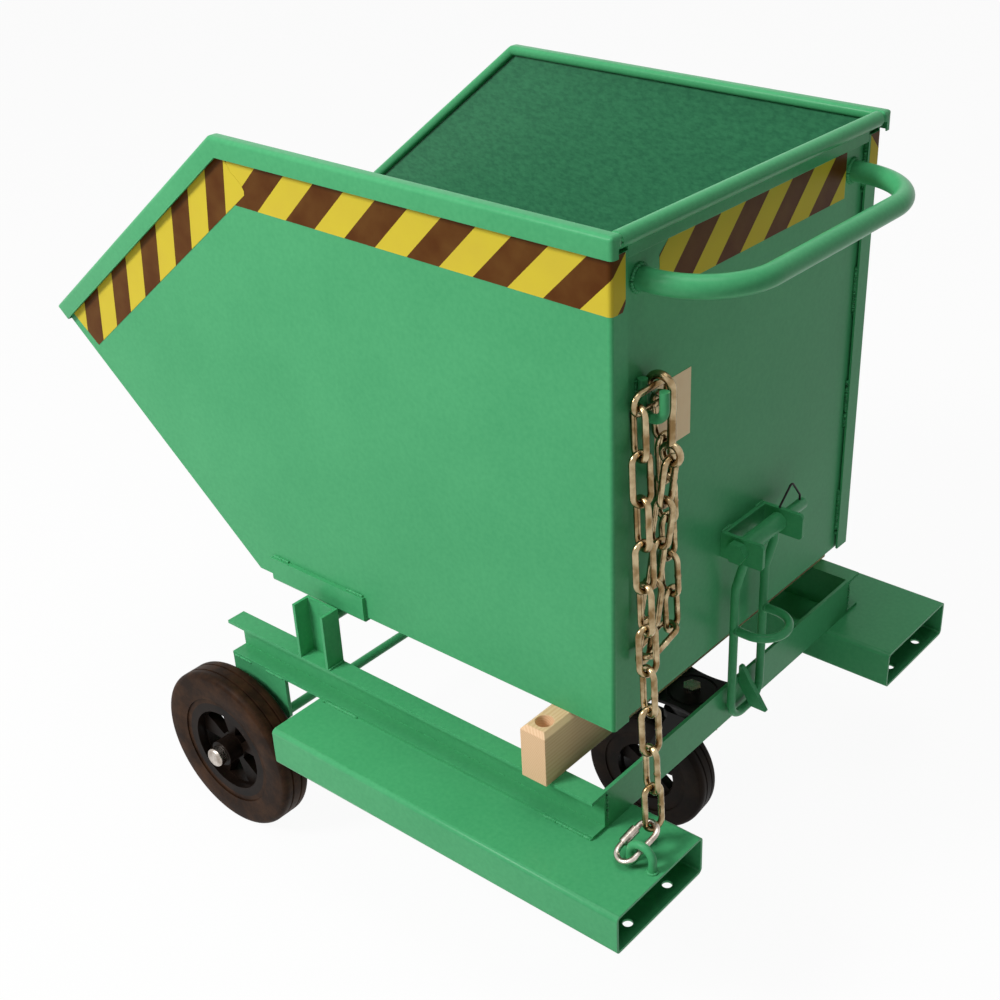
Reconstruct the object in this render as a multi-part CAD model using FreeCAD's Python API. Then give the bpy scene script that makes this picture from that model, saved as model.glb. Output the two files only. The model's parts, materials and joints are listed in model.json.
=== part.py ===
import FreeCAD, Part
import math
import os

# Tipping skip trolley, in millimetres.
# Work frame: x = 0 at the rear face of the skip, -x towards the chute, left side at -y, z = 0 on the floor.
# Every solid is moved along x when it is written, so that the origin is the middle of the footprint.

# Skip
skip_width = 573.0
skip_height = 640.0
skip_top_length = 617.0
skip_floor_length = 645.0
lip_reach = 1024.0
lip_height = 319.0
sheet = 3.0
return_flange = 30.0
bend_inside = 2.0
flange_gap = 3.0

# Rim of the skip
rim_depth = 26.0
rim_width = 20.0
rim_proud = 9.0
rim_wall = 2.5
rim_corner_radius = 12.0
rim_edge_radius = 6.0
strip_height = 15.0

# Push handle
handle_tube = 27.0
handle_wall = 2.6
handle_inset = 57.5
handle_reach = 118.0
handle_drop = 66.0
handle_bend = 95.0

# Frame
channel_height = 60.0
channel_flange = 30.0
channel_wall = 5.0
channel_length = 679.0
frame_gap = 17.0
pocket_width = 180.0
pocket_height = 60.0
pocket_wall = 4.0
pocket_corner = 7.0
pocket_length = 600.0
pocket_rear_reach = 106.0
pocket_overlap = 59.5
pocket_clearance = 205.0
pocket_hole = 13.5
pocket_hole_spacing = 83.0
pocket_hole_inset = 20.0
rest_beam_height = 80.0
rest_beam_width = 40.0
rest_beam_setback = 65.0
rest_beam_overhang = 9.5
rest_beam_chamfer = 6.0
rest_bolt_bore = 24.0
rest_bolt_bore_depth = 45.0
rest_bolt = 10.0
upright_height = 88.0

# Tipping hinge
pivot_setback = 497.0
hinge_shaft = 16.0
bearing_outer = 26.0
bearing_length = 44.0
bearing_seat = 1.5
hinge_front = 115.0
hinge_rear = 69.0
hinge_leg = 33.0
hinge_wall = 6.0
hinge_heel = 4.8
hinge_return = 30.0

# Hexagon bolts, in bolt diameters
bolt_head = 0.65
bolt_nut = 0.8
bolt_flats = 1.7

# Both kinds of wheel
tyre_ring = 8.0
tyre_step = 2.0
tyre_bulge = 1.5
tyre_shoulder = 9.0
tyre_groove = 3.0
rim_barrel = 14.0
rim_web = 16.0
spokes = 5
spoke_angle = 32.0
window_margin = 3.0
bush_wall = 5.0
washer_wall = 2.5

# Front wheels
wheel_diameter = 260.0
wheel_width = 50.0
wheel_rim_diameter = 160.0
wheel_hub = 40.0
wheel_hub_length = 64.0
axle_setback = 655.0
axle = 15.0
axle_cap = 30.0
axle_cap_length = 13.0
axle_cap_round = 5.0
bracket_front = 24.0
bracket_rear = 88.0
bracket_wall = 6.0
bracket_round = 27.0

# Swivel castor
castor_setback = 79.0
castor_diameter = 200.0
castor_width = 46.0
castor_rim_diameter = 124.0
castor_hub = 36.0
castor_hub_length = 54.0
castor_axle = 12.0
castor_trail = 66.0
castor_turn = 4.5
castor_plate_length = 142.0
castor_plate_width = 105.0
castor_plate = 6.0
castor_plate_corner = 12.0
castor_plate_dip = 9.0
castor_groove = 4.0
castor_groove_depth = 1.5
castor_bolt_spacing_x = 122.0
castor_bolt_spacing_y = 80.0
castor_bolt = 10.0
castor_race = 74.0
castor_race_height = 9.0
castor_ring = 66.0
castor_ring_height = 10.0
castor_crown = 12.0
castor_leg = 6.0
castor_leg_top = 64.0
castor_boss = 34.0
king_bolt = 14.0
carrier_width = 50.0
carrier_thickness = 8.0

# Latch
latch_height = 155.0
latch_reach = 22.0
latch_ear_depth = 58.0
latch_ear_height = 37.0
latch_inner_width = 90.0
latch_wall = 6.0
latch_bolt = 16.0
latch_bolt_stub = 54.0
latch_sleeve = 25.0
bail_rod = 12.0
bail_half_width = 36.0
bail_setback = 10.0
bail_stem = 24.0
bail_crank_drop = 70.0
bail_corner = 28.0
bail_slack = 2.4
hand_loop_drop = 135.0
hand_loop_reach = 74.0
clip_wire = 3.0
clip_rise = 42.0
catch_wall = 8.0
catch_top = 19.0
catch_drop = 41.0
catch_reach = 46.0
catch_mouth = 20.0
catch_neck = 10.0

# Chain and what it hangs on
chain_wire = 8.0
chain_link_width = 32.0
chain_run_links = 10
chain_loop_links = 6
chain_return_links = 5
chain_run_turn = -20.0
chain_loop_lean = 0.08
hook_rod = 12.0
hook_inset = 56.5
hook_height = 428.0
hook_bend = 15.0
hook_leg = 30.0
hook_tip = 22.0
eye_rod = 11.0
eye_span = 34.0
eye_height = 38.0
eye_setback = 76.0
quick_wire = 8.0
quick_length = 70.0
quick_width = 36.0
quick_sleeve = 13.0
quick_sleeve_length = 24.0
quick_slack = 1.0
end_hook_rod = 10.5
end_hook_bowl = 16.0
end_hook_shank = 66.0
end_hook_tip_turn = 205.0
end_hook_eye = 24.0
end_hook_eye_wire = 9.0
hook_catch_wall = 2.0
hook_catch_width = 9.0

# Clearances
running_fit = 0.05
bolt_fit = 0.5
slide_gap = 0.3
link_gap = 0.4

# Places worked out from the sizes above
half_skip = skip_width / 2
bend_radius = sheet + bend_inside
channel_inner = half_skip + frame_gap
channel_outer = channel_inner + channel_flange
pocket_inner = channel_inner - pocket_overlap
pocket_outer = pocket_inner + pocket_width
pocket_middle = (pocket_inner + pocket_outer) / 2
pocket_top = pocket_clearance + pocket_height
channel_top = pocket_top + channel_height
skip_base = channel_top + rest_beam_height
skip_top = skip_base + skip_height
rim_underside = skip_top - rim_depth
pivot_x = -pivot_setback
pivot_z = skip_base - hinge_wall - bearing_outer / 2 + bearing_seat
axle_x = -axle_setback
axle_z = wheel_diameter / 2
castor_x = -castor_setback
castor_z = castor_diameter / 2
back_face = -sheet - flange_gap
handle_half_span = half_skip - handle_inset
handle_z = skip_top - handle_drop
hook_y = hook_inset - half_skip
latch_x = latch_reach
latch_z = skip_base + latch_height
origin_shift = (lip_reach - handle_reach) / 2
SIDES = (("left", -1), ("right", 1))


def V(x, y, z):
    return FreeCAD.Vector(x, y, z)


def box(x0, x1, y0, y1, z0, z1):
    low_y = min(y0, y1)
    return Part.makeBox(x1 - x0, abs(y1 - y0), z1 - z0, V(x0, low_y, z0))


def rod_y(x, z, radius, y0, y1):
    low_y = min(y0, y1)
    return Part.makeCylinder(radius, abs(y1 - y0), V(x, low_y, z), V(0, 1, 0))


def rod_z(x, y, radius, z0, z1):
    return Part.makeCylinder(radius, z1 - z0, V(x, y, z0), V(0, 0, 1))


def face_of(points):
    """A flat face from corner points."""
    return Part.Face(Part.makePolygon(points + points[:1]))


def side_profile(points, y0, y1):
    """A profile in x and z, extruded from y0 to y1."""
    return face_of([V(x, y0, z) for x, z in points]).extrude(V(0, y1 - y0, 0))


def joined(solids):
    """One clean solid from solids that meet."""
    result = solids[0]
    for solid in solids[1:]:
        result = result.fuse(solid)
    return result.removeSplitter()


def mirrored(shape, side):
    """The left-hand shape itself, or its mirror image on the right."""
    if side < 0:
        return shape
    return shape.mirror(V(0, 0, 0), V(0, 1, 0))


def bent_path(points, bend):
    """A wire through the points with each corner rounded to the bend radius."""
    edges = []
    start = points[0]
    for before, corner, after in zip(points, points[1:], points[2:]):
        back = (before - corner).normalize()
        ahead = (after - corner).normalize()
        half_angle = back.getAngle(ahead) / 2
        tangent = bend / math.tan(half_angle)
        inward = (back + ahead).normalize()
        middle = corner + inward * (bend / math.sin(half_angle) - bend)
        arc_start = corner + back * tangent
        arc_end = corner + ahead * tangent
        edges.append(Part.makeLine(start, arc_start))
        edges.append(Part.Arc(arc_start, middle, arc_end).toShape())
        start = arc_end
    edges.append(Part.makeLine(start, points[-1]))
    return Part.Wire(edges)


def bent_rod(points, diameter, bend):
    """A round bar bent along the points."""
    direction = points[1] - points[0]
    section = Part.Wire(Part.makeCircle(diameter / 2, points[0], direction))
    return bent_path(points, bend).makePipeShell([section], True, False)


def hexagon(across_flats, z0, z1):
    """A hexagonal head or nut standing on the z axis."""
    radius = across_flats / math.sqrt(3)
    corners = []
    for step in range(6):
        angle = math.radians(60 * step)
        corners.append(V(radius * math.cos(angle), radius * math.sin(angle), z0))
    return face_of(corners).extrude(V(0, 0, z1 - z0))


def bolt_and_nut(diameter, x, y, z_low, z_high):
    """A hexagon bolt with its head above z_high and its nut below z_low."""
    z_nut = z_low - bolt_nut * diameter
    z_head = z_high + bolt_head * diameter
    across_flats = bolt_flats * diameter
    shank = rod_z(0, 0, diameter / 2, z_nut, z_high)
    head = hexagon(across_flats, z_high, z_head)
    nut = hexagon(across_flats, z_nut, z_low)
    solid = joined([shank, head, nut])
    solid.translate(V(x, y, 0))
    return solid


def write(name, solids):
    """Move the solids to the part's own origin and write them as one node."""
    shape = solids[0] if len(solids) == 1 else Part.makeCompound(solids)
    shape = shape.copy()
    shape.translate(V(origin_shift, 0, 0))
    shape.exportStep(os.path.join("parts", name + ".step"))
    print(name, len(shape.Solids), shape.isValid(), round(shape.Volume / 1000.0, 1))


# Skip: the outline of a side, and the sheets cut to it

def meet(point_a, direction_a, point_b, direction_b):
    """Where two lines in x and z cross."""
    cross = direction_a.x * direction_b.z - direction_a.z * direction_b.x
    gap = point_b - point_a
    along = (gap.x * direction_b.z - gap.z * direction_b.x) / cross
    return point_a + direction_a * along


lip = V(-lip_reach, 0, skip_base + lip_height)
front_top = V(-skip_top_length, 0, skip_top)
front_foot = V(-skip_floor_length, 0, skip_base)
slope = (lip - front_top).normalize()
chute = (front_foot - lip).normalize()
slope_inward = V(-slope.z, 0, slope.x)
chute_inward = V(-chute.z, 0, chute.x)


def rim_edges(depth, rear_x, lip_inset, y):
    """The edges of the top and slope at a depth below the outline, from the rear end to the lip end."""
    top_corner = meet(V(0, 0, skip_top - depth), V(1, 0, 0), front_top + slope_inward * depth, slope)
    lip_end = meet(front_top + slope_inward * depth, slope, lip + chute_inward * lip_inset, chute)
    radius = rim_corner_radius - depth
    points = [V(rear_x, 0, skip_top - depth), top_corner, lip_end]
    wire = bent_path(points, radius) if radius > 0 else Part.makePolygon(points)
    wire.translate(V(0, y, 0))
    return wire.Edges, points[0] + V(0, y, 0), lip_end + V(0, y, 0)


def rim_strip(depth, lower_depth, rear_x, lip_inset, y0, y1):
    """A bar that follows the top and the slope between two depths."""
    upper, upper_rear, upper_lip = rim_edges(depth, rear_x, lip_inset, y0)
    lower, lower_rear, lower_lip = rim_edges(lower_depth, rear_x, lip_inset, y0)
    closing = [Part.makeLine(upper_lip, lower_lip), Part.makeLine(lower_rear, upper_rear)]
    wire = Part.Wire(Part.__sortEdges__(upper + lower + closing))
    return Part.Face(wire).extrude(V(0, y1 - y0, 0))


def outline_depth(vertex):
    """How far a corner lies below the top and the slope."""
    return min(skip_top - vertex.Z, (vertex.Point - front_top).dot(slope_inward))


def rim_rail():
    """Left rim rail: an upturned U over the side wall, rounded along its top."""
    outer = -(half_skip + rim_proud)
    inner = outer + rim_width
    rail = rim_strip(0, rim_depth, rim_proud, 0, outer, inner)
    rounded = []
    for edge in rail.Edges:
        lengthways = edge.BoundBox.YLength < rim_width / 2
        if lengthways and max(outline_depth(vertex) for vertex in edge.Vertexes) < rim_wall / 2:
            rounded.append(edge)
    rail = rail.makeFillet(rim_edge_radius, rounded)
    rear_x = rim_proud - rim_wall
    groove = rim_strip(rim_wall, 2 * rim_depth, rear_x, rim_wall, outer + rim_wall, inner - rim_wall)
    return rail.cut(groove)


def side_wall():
    """Left side wall with the return flange bent over the outside of the back wall."""
    outer = -half_skip
    inner_bend = bend_radius - sheet
    length = lip_reach
    centre = V(-bend_radius, outer + bend_radius, skip_base)
    slant = math.sqrt(0.5)
    outside_middle = centre + V(slant, -slant, 0) * bend_radius
    inside_middle = centre + V(slant, -slant, 0) * inner_bend
    flange_end = outer + return_flange
    outside = [V(-length, outer, skip_base), V(-bend_radius, outer, skip_base)]
    outside_flange = [V(0, outer + bend_radius, skip_base), V(0, flange_end, skip_base)]
    inside_flange = [V(-sheet, flange_end, skip_base), V(-sheet, outer + bend_radius, skip_base)]
    inside = [V(-bend_radius, outer + sheet, skip_base), V(-length, outer + sheet, skip_base)]
    edges = [
        Part.makeLine(*outside),
        Part.Arc(outside[1], outside_middle, outside_flange[0]).toShape(),
        Part.makeLine(*outside_flange),
        Part.makeLine(outside_flange[1], inside_flange[0]),
        Part.makeLine(*inside_flange),
        Part.Arc(inside_flange[1], inside_middle, inside[0]).toShape(),
        Part.makeLine(*inside),
        Part.makeLine(inside[1], outside[0]),
    ]
    bent_sheet = Part.Face(Part.Wire(edges)).extrude(V(0, 0, skip_height))
    edges, rear, lip_end = rim_edges(rim_wall, 0, 0, -skip_width)
    rear_foot = V(0, -skip_width, skip_base)
    chute_foot = front_foot + V(0, -skip_width, 0)
    edges.append(Part.makeLine(lip_end, chute_foot))
    edges.append(Part.makeLine(chute_foot, rear_foot))
    edges.append(Part.makeLine(rear_foot, rear))
    outline = Part.Face(Part.Wire(Part.__sortEdges__(edges))).extrude(V(0, skip_width, 0))
    under_rail = box(-bend_radius, rim_proud, outer + bend_radius, 0, rim_underside, skip_top)
    return bent_sheet.common(outline).cut(under_rail).cut(rim_rail())


def floor_and_chute():
    """Floor and chute as one bent sheet between the side walls."""
    inner_half = half_skip - sheet
    lift = V(0, 0, sheet)
    inner_foot = meet(front_foot + lift, V(1, 0, 0), front_foot + chute_inward * sheet, chute)
    inner_lip = meet(lip + slope_inward * rim_depth, slope, lip + chute_inward * sheet, chute)
    outer_lip = meet(lip + slope_inward * rim_depth, slope, lip, chute)
    rear = back_face - sheet
    points = [V(rear, 0, skip_base), front_foot, outer_lip, inner_lip, inner_foot, V(rear, 0, skip_base + sheet)]
    bent_sheet = side_profile([(point.x, point.z) for point in points], -inner_half, inner_half)
    for name, side in SIDES:
        bent_sheet = bent_sheet.cut(mirrored(side_wall(), side))
    return bent_sheet


bead_radius = rim_width / 2
bead_x = rim_proud - bead_radius
bead_z = skip_top - bead_radius
rail_inner = half_skip + rim_proud - rim_width


def rear_bead():
    outer = rod_y(bead_x, bead_z, bead_radius, -rail_inner, rail_inner)
    bore = rod_y(bead_x, bead_z, bead_radius - rim_wall, -rail_inner, rail_inner)
    return outer.cut(bore)


def back_wall():
    inner_half = half_skip - sheet
    wall = box(back_face - sheet, back_face, -inner_half, inner_half, skip_base, bead_z)
    under_rails = box(back_face - sheet, back_face, rail_inner, half_skip, rim_underside, skip_top)
    wall = wall.cut(rod_y(bead_x, bead_z, bead_radius, -half_skip, half_skip))
    return wall.cut(under_rails).cut(mirrored(under_rails, 1))


def push_handle():
    """Bent tube welded to the back wall."""
    bar_x = handle_reach - handle_tube / 2
    points = [
        V(back_face, -handle_half_span, handle_z),
        V(bar_x, -handle_half_span, handle_z),
        V(bar_x, handle_half_span, handle_z),
        V(back_face, handle_half_span, handle_z),
    ]
    bore = bent_rod(points, handle_tube - 2 * handle_wall, handle_bend)
    return bent_rod(points, handle_tube, handle_bend).cut(bore)


def hinge_bracket():
    """Left hinge angle on the skip, with its bearing tube below."""
    x0 = pivot_x - hinge_front
    x1 = pivot_x + hinge_rear
    outer = -(half_skip + hinge_wall)
    leg = box(x0, x1, outer, -half_skip, skip_base - hinge_wall, skip_base + hinge_leg)
    foot = box(x0, x1, outer, outer + hinge_wall + hinge_return, skip_base - hinge_wall, skip_base)
    angle = joined([leg, foot])
    heel = [edge for edge in angle.Edges if abs(edge.CenterOfMass.y - outer) < 0.01
            and abs(edge.CenterOfMass.z - skip_base + hinge_wall) < 0.01]
    angle = angle.makeFillet(hinge_heel, heel)
    end = -channel_inner + slide_gap
    tube = rod_y(pivot_x, pivot_z, bearing_outer / 2, end, end + bearing_length)
    bore = rod_y(pivot_x, pivot_z, hinge_shaft / 2 + running_fit, end, end + bearing_length)
    return joined([angle, tube]).cut(bore)


def build_skip():
    for name, side in SIDES:
        write(name + "_side_wall", [mirrored(side_wall(), side)])
        write(name + "_rim_rail", [mirrored(rim_rail(), side)])
        write(name + "_hinge_bracket", [mirrored(hinge_bracket(), side)])
    write("back_wall", [back_wall()])
    write("floor_and_chute", [floor_and_chute()])
    write("rear_rim_bead", [rear_bead()])
    strip_half = half_skip - return_flange - slide_gap
    strip_top = bead_z - bead_radius
    write("rear_rim_strip", [box(back_face, 0, -strip_half, strip_half, strip_top - strip_height, strip_top)])
    write("push_handle", [push_handle()])


# Frame

def channel_profile():
    """Corner points of a U section as (outward, up), with the web at 0 and the open side outward."""
    upper = channel_height - channel_wall
    return [
        (0, 0), (-channel_flange, 0), (-channel_flange, channel_wall), (-channel_wall, channel_wall),
        (-channel_wall, upper), (-channel_flange, upper), (-channel_flange, channel_height), (0, channel_height),
    ]


def side_channel():
    """Left side channel, open side outward."""
    points = [V(-channel_length, y - channel_inner, z + pocket_top) for y, z in channel_profile()]
    beam = face_of(points).extrude(V(channel_length, 0, 0))
    bolt_x = -rest_beam_setback - rest_beam_width / 2
    hole = rod_z(bolt_x, -rest_bolt_y, rest_bolt / 2 + bolt_fit, channel_top - channel_wall, channel_top)
    return beam.cut(hole)


def rear_beam():
    """Rear cross member: an angle with its web to the rear, holed below for the castor plate."""
    flange_top = pocket_top + channel_wall
    beam = side_profile([
        (0, pocket_top), (-channel_flange, pocket_top), (-channel_flange, flange_top),
        (-channel_wall, flange_top), (-channel_wall, channel_top), (0, channel_top),
    ], -channel_inner, channel_inner)
    for x, y in castor_bolt_places():
        beam = beam.cut(rod_z(x, y, castor_bolt / 2 + bolt_fit, pocket_top, pocket_top + channel_wall))
    return beam


def castor_bolt_places():
    places = []
    for x_sign in (-1, 1):
        for y_sign in (-1, 1):
            x = castor_x + x_sign * castor_bolt_spacing_x / 2
            places.append((x, y_sign * castor_bolt_spacing_y / 2))
    return places


def carrier_bar():
    """Flat bar on the pocket tops that carries the front of the castor plate."""
    middle = castor_x - castor_bolt_spacing_x / 2
    half = carrier_width / 2
    top = pocket_top + carrier_thickness
    bar = box(middle - half, middle + half, -channel_inner, channel_inner, pocket_top, top)
    for x, y in castor_bolt_places():
        bar = bar.cut(rod_z(x, y, castor_bolt / 2 + bolt_fit, pocket_top, top))
    return bar


def fork_pocket():
    """Left fork pocket: rectangular tube, open at both ends, with two fixing holes in its floor."""
    rear = pocket_rear_reach
    front = rear - pocket_length

    def bar(inset, corner):
        solid = box(front, rear, -pocket_outer + inset, -pocket_inner - inset,
                    pocket_clearance + inset, pocket_top - inset)
        long_edges = [edge for edge in solid.Edges if edge.BoundBox.XLength > pocket_length / 2]
        return solid.makeFillet(corner, long_edges)

    tube = bar(0, pocket_corner).cut(bar(pocket_wall, pocket_corner - pocket_wall))
    for sign in (-1, 1):
        x = rear - pocket_hole_inset
        y = -pocket_middle + sign * pocket_hole_spacing / 2
        tube = tube.cut(rod_z(x, y, pocket_hole / 2, pocket_clearance, pocket_clearance + pocket_wall))
    return tube


def upright():
    """Left pivot upright: a short channel stood on the side channel, open side outward."""
    half = channel_height / 2
    points = [V(pivot_x - half + z, y - channel_inner, channel_top) for y, z in channel_profile()]
    post = face_of(points).extrude(V(0, 0, upright_height))
    hole = rod_y(pivot_x, pivot_z, hinge_shaft / 2 + running_fit, -channel_inner, -channel_inner - channel_wall)
    return post.cut(hole)


def wheel_bracket():
    """Left axle plate below the outer edge of the side channel, tapered to a round end at the axle."""
    y0 = -channel_outer
    y1 = y0 + bracket_wall
    front = axle_x - bracket_front
    rear = axle_x + bracket_rear
    waist = (axle_z + pocket_top) / 2
    plate = side_profile([
        (front, pocket_top), (rear, pocket_top), (rear, waist),
        (axle_x + bracket_round, axle_z), (axle_x - bracket_front, axle_z),
    ], y0, y1)
    boss = rod_y(axle_x, axle_z, bracket_round, y0, y1)
    ahead = box(front - bracket_round, front, y0, y1, axle_z - bracket_round, pocket_top)
    hole = rod_y(axle_x, axle_z, axle / 2 + running_fit, y0, y1)
    return joined([plate, boss.cut(ahead)]).cut(hole)


rest_bolt_y = channel_inner + channel_flange / 2


def rest_beam():
    """Wooden beam under the skip, bevelled round its top, with deep bores for its bolts."""
    x0 = -rest_beam_setback - rest_beam_width
    x1 = -rest_beam_setback
    half = channel_outer + rest_beam_overhang
    top = skip_base - slide_gap
    beam = box(x0, x1, -half, half, channel_top, top)
    arrises = [edge for edge in beam.Edges if edge.CenterOfMass.z > top - rest_beam_chamfer]
    beam = beam.makeChamfer(rest_beam_chamfer, arrises)
    middle = (x0 + x1) / 2
    for sign in (-1, 1):
        y = sign * rest_bolt_y
        beam = beam.cut(rod_z(middle, y, rest_bolt_bore / 2, top - rest_bolt_bore_depth, top))
        beam = beam.cut(rod_z(middle, y, rest_bolt / 2 + bolt_fit, channel_top, top))
    return beam


def rest_bolts():
    middle = -rest_beam_setback - rest_beam_width / 2
    seat = skip_base - slide_gap - rest_bolt_bore_depth
    low = channel_top - channel_wall
    return [bolt_and_nut(rest_bolt, middle, sign * rest_bolt_y, low, seat) for sign in (-1, 1)]


def latch_catch():
    """Barbed plate on the rear beam that holds the bail down."""
    top = channel_top + catch_top
    bottom = channel_top - catch_drop
    return side_profile([
        (0, top), (catch_neck / 2, top), (catch_reach, bottom), (catch_mouth, bottom),
        (0, channel_top - catch_neck),
    ], -catch_wall / 2, catch_wall / 2)


def hinge_pin():
    """Shaft right across, its ends welded flush in the webs of the uprights."""
    end = channel_inner + channel_wall
    return rod_y(pivot_x, pivot_z, hinge_shaft / 2, -end, end)


def build_frame():
    for name, side in SIDES:
        write(name + "_side_channel", [mirrored(side_channel(), side)])
        write(name + "_fork_pocket", [mirrored(fork_pocket(), side)])
        write(name + "_pivot_upright", [mirrored(upright(), side)])
        write(name + "_wheel_bracket", [mirrored(wheel_bracket(), side)])
    write("rear_cross_channel", [rear_beam()])
    write("castor_carrier_bar", [carrier_bar()])
    write("rest_beam", [rest_beam()])
    write("rest_beam_bolts", rest_bolts())
    write("latch_catch", [latch_catch()])
    write("hinge_shaft", [hinge_pin()])


# Wheels

def turned(points, rounds=()):
    """A profile of (radius, y) points revolved about the y axis; corners listed in rounds become arcs."""
    corners = [V(radius, y, 0) for radius, y in points]
    edges = []
    count = len(corners)
    starts = list(corners)
    ends = list(corners)
    arcs = []
    for index, bend in rounds:
        back = (corners[index - 1] - corners[index]).normalize()
        ahead = (corners[(index + 1) % count] - corners[index]).normalize()
        half_angle = back.getAngle(ahead) / 2
        tangent = bend / math.tan(half_angle)
        middle = corners[index] + (back + ahead).normalize() * (bend / math.sin(half_angle) - bend)
        ends[index] = corners[index] + back * tangent
        starts[index] = corners[index] + ahead * tangent
        arcs.append(Part.Arc(ends[index], middle, starts[index]).toShape())
    for index in range(count):
        edges.append(Part.makeLine(starts[index], ends[(index + 1) % count]))
    wire = Part.Wire(Part.__sortEdges__(edges + arcs))
    return Part.Face(wire).revolve(V(0, 0, 0), V(0, 1, 0), 360)


def tyre(diameter, width, rim_diameter):
    """Solid tyre: a ring beside the rim, bulged side walls, round shoulders and two grooves in the tread."""
    radius = diameter / 2
    ring = rim_diameter / 2 + tyre_ring
    widest = width / 2
    tread = widest - tyre_bulge
    rib_edge = tread / 3
    half_groove = tyre_groove / 2
    side = [
        (rim_diameter / 2, tread - tyre_step), (ring, tread - tyre_step), (ring, tread),
        ((ring + radius) / 2, widest), (radius, tread), (radius, rib_edge + half_groove),
        (radius - tyre_groove, rib_edge), (radius, rib_edge - half_groove),
    ]
    points = [(r, -y) for r, y in side] + side[::-1]
    widest_corner = 3
    shoulder = 4
    last = len(points) - 1
    return turned(points, (
        (widest_corner, radius), (shoulder, tyre_shoulder),
        (last - shoulder, tyre_shoulder), (last - widest_corner, radius),
    ))


def spoked_rim(rim_diameter, width, hub, hub_length, bore):
    """Moulded rim: barrel, hub and a web with a window between each pair of wedge-shaped spokes."""
    outer = rim_diameter / 2
    barrel = outer - rim_barrel
    half = width / 2 - tyre_bulge - tyre_step
    web_half = rim_web / 2
    hub_half = hub_length / 2
    rim = turned([
        (bore, -hub_half), (hub / 2, -hub_half), (hub / 2, -web_half), (barrel, -web_half), (barrel, -half),
        (outer, -half), (outer, half), (barrel, half), (barrel, web_half), (hub / 2, web_half),
        (hub / 2, hub_half), (bore, hub_half),
    ])
    low = hub / 2 + window_margin
    high = barrel - window_margin
    spread = math.pi / spokes - math.radians(spoke_angle) / 2
    for index in range(spokes):
        middle = 2 * math.pi * (index + 0.5) / spokes
        corners = []
        for radius in (low, high):
            for angle in (middle - spread, middle, middle + spread):
                corners.append(V(radius * math.sin(angle), -width, radius * math.cos(angle)))
        window = Part.Wire([
            Part.Arc(*corners[:3]).toShape(),
            Part.makeLine(corners[2], corners[5]),
            Part.Arc(corners[5], corners[4], corners[3]).toShape(),
            Part.makeLine(corners[3], corners[0]),
        ])
        rim = rim.cut(Part.Face(window).extrude(V(0, 2 * width, 0)))
    return rim


def bush(outer, bore, length):
    half = length / 2
    return rod_y(0, 0, outer, -half, half).cut(rod_y(0, 0, bore, -half, half))


hub_inner = channel_outer + washer_wall + 2 * slide_gap
wheel_y = hub_inner + wheel_hub_length / 2
axle_end = hub_inner + wheel_hub_length + slide_gap + washer_wall + axle_cap_length


def build_wheels():
    bush_outer = axle / 2 + bush_wall
    for name, side in SIDES:
        place = V(axle_x, side * wheel_y, axle_z)
        pieces = {
            "tyre": tyre(wheel_diameter, wheel_width, wheel_rim_diameter),
            "rim": spoked_rim(wheel_rim_diameter, wheel_width, wheel_hub, wheel_hub_length, bush_outer),
            "bush": bush(bush_outer, axle / 2 + running_fit, wheel_hub_length),
        }
        for piece, solid in pieces.items():
            solid.translate(place)
            write(name + "_wheel_" + piece, [solid])
    rod_end = axle_end - axle_cap_length / 2
    write("wheel_axle", [rod_y(axle_x, axle_z, axle / 2, -rod_end, rod_end)])
    washers = []
    caps = []
    for name, side in SIDES:
        inside = channel_outer + slide_gap
        outside = hub_inner + wheel_hub_length + slide_gap
        for start in (inside, outside):
            end = start + washer_wall
            washer = rod_y(axle_x, axle_z, axle, side * start, side * end)
            washers.append(washer.cut(rod_y(axle_x, axle_z, axle / 2 + running_fit, side * start, side * end)))
        cap_start = axle_end - axle_cap_length
        cap = rod_y(axle_x, axle_z, axle_cap / 2, side * cap_start, side * axle_end)
        rim_edges_out = [edge for edge in cap.Edges if abs(edge.CenterOfMass.y - side * axle_end) < 0.01]
        cap = cap.makeFillet(axle_cap_round, rim_edges_out)
        caps.append(cap.cut(rod_y(axle_x, axle_z, axle / 2, 0, side * rod_end)))
    write("axle_washers", washers)
    write("axle_caps", caps)


def castor_plate_solid():
    """Castor top plate with rounded corners, drawn-in edges and a ring pressed round the king bolt."""
    half_x = castor_plate_length / 2
    half_y = castor_plate_width / 2
    low = pocket_top - castor_plate
    plate = box(-half_x, half_x, -half_y, half_y, low, pocket_top)
    upright_edges = [edge for edge in plate.Edges if edge.BoundBox.ZLength > castor_plate / 2]
    plate = plate.makeFillet(castor_plate_corner, upright_edges)
    scallop = castor_plate_length
    reach = scallop - castor_plate_dip
    for sign in (-1, 1):
        plate = plate.cut(rod_z(0, sign * (half_y + reach), scallop, low, pocket_top))
        plate = plate.cut(rod_z(sign * (half_x + reach), 0, scallop, low, pocket_top))
    race = rod_z(0, 0, castor_race / 2, low - castor_race_height, low)
    plate = joined([plate, race])
    groove_low = pocket_top - castor_groove_depth
    groove = rod_z(0, 0, castor_race / 2, groove_low, pocket_top)
    plate = plate.cut(groove.cut(rod_z(0, 0, castor_race / 2 - castor_groove, groove_low, pocket_top)))
    plate = plate.cut(rod_z(0, 0, king_bolt / 2 + running_fit, low - castor_race_height, pocket_top))
    plate.translate(V(castor_x, 0, 0))
    for x, y in castor_bolt_places():
        plate = plate.cut(rod_z(x, y, castor_bolt / 2 + bolt_fit, low, pocket_top))
    return plate


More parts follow.
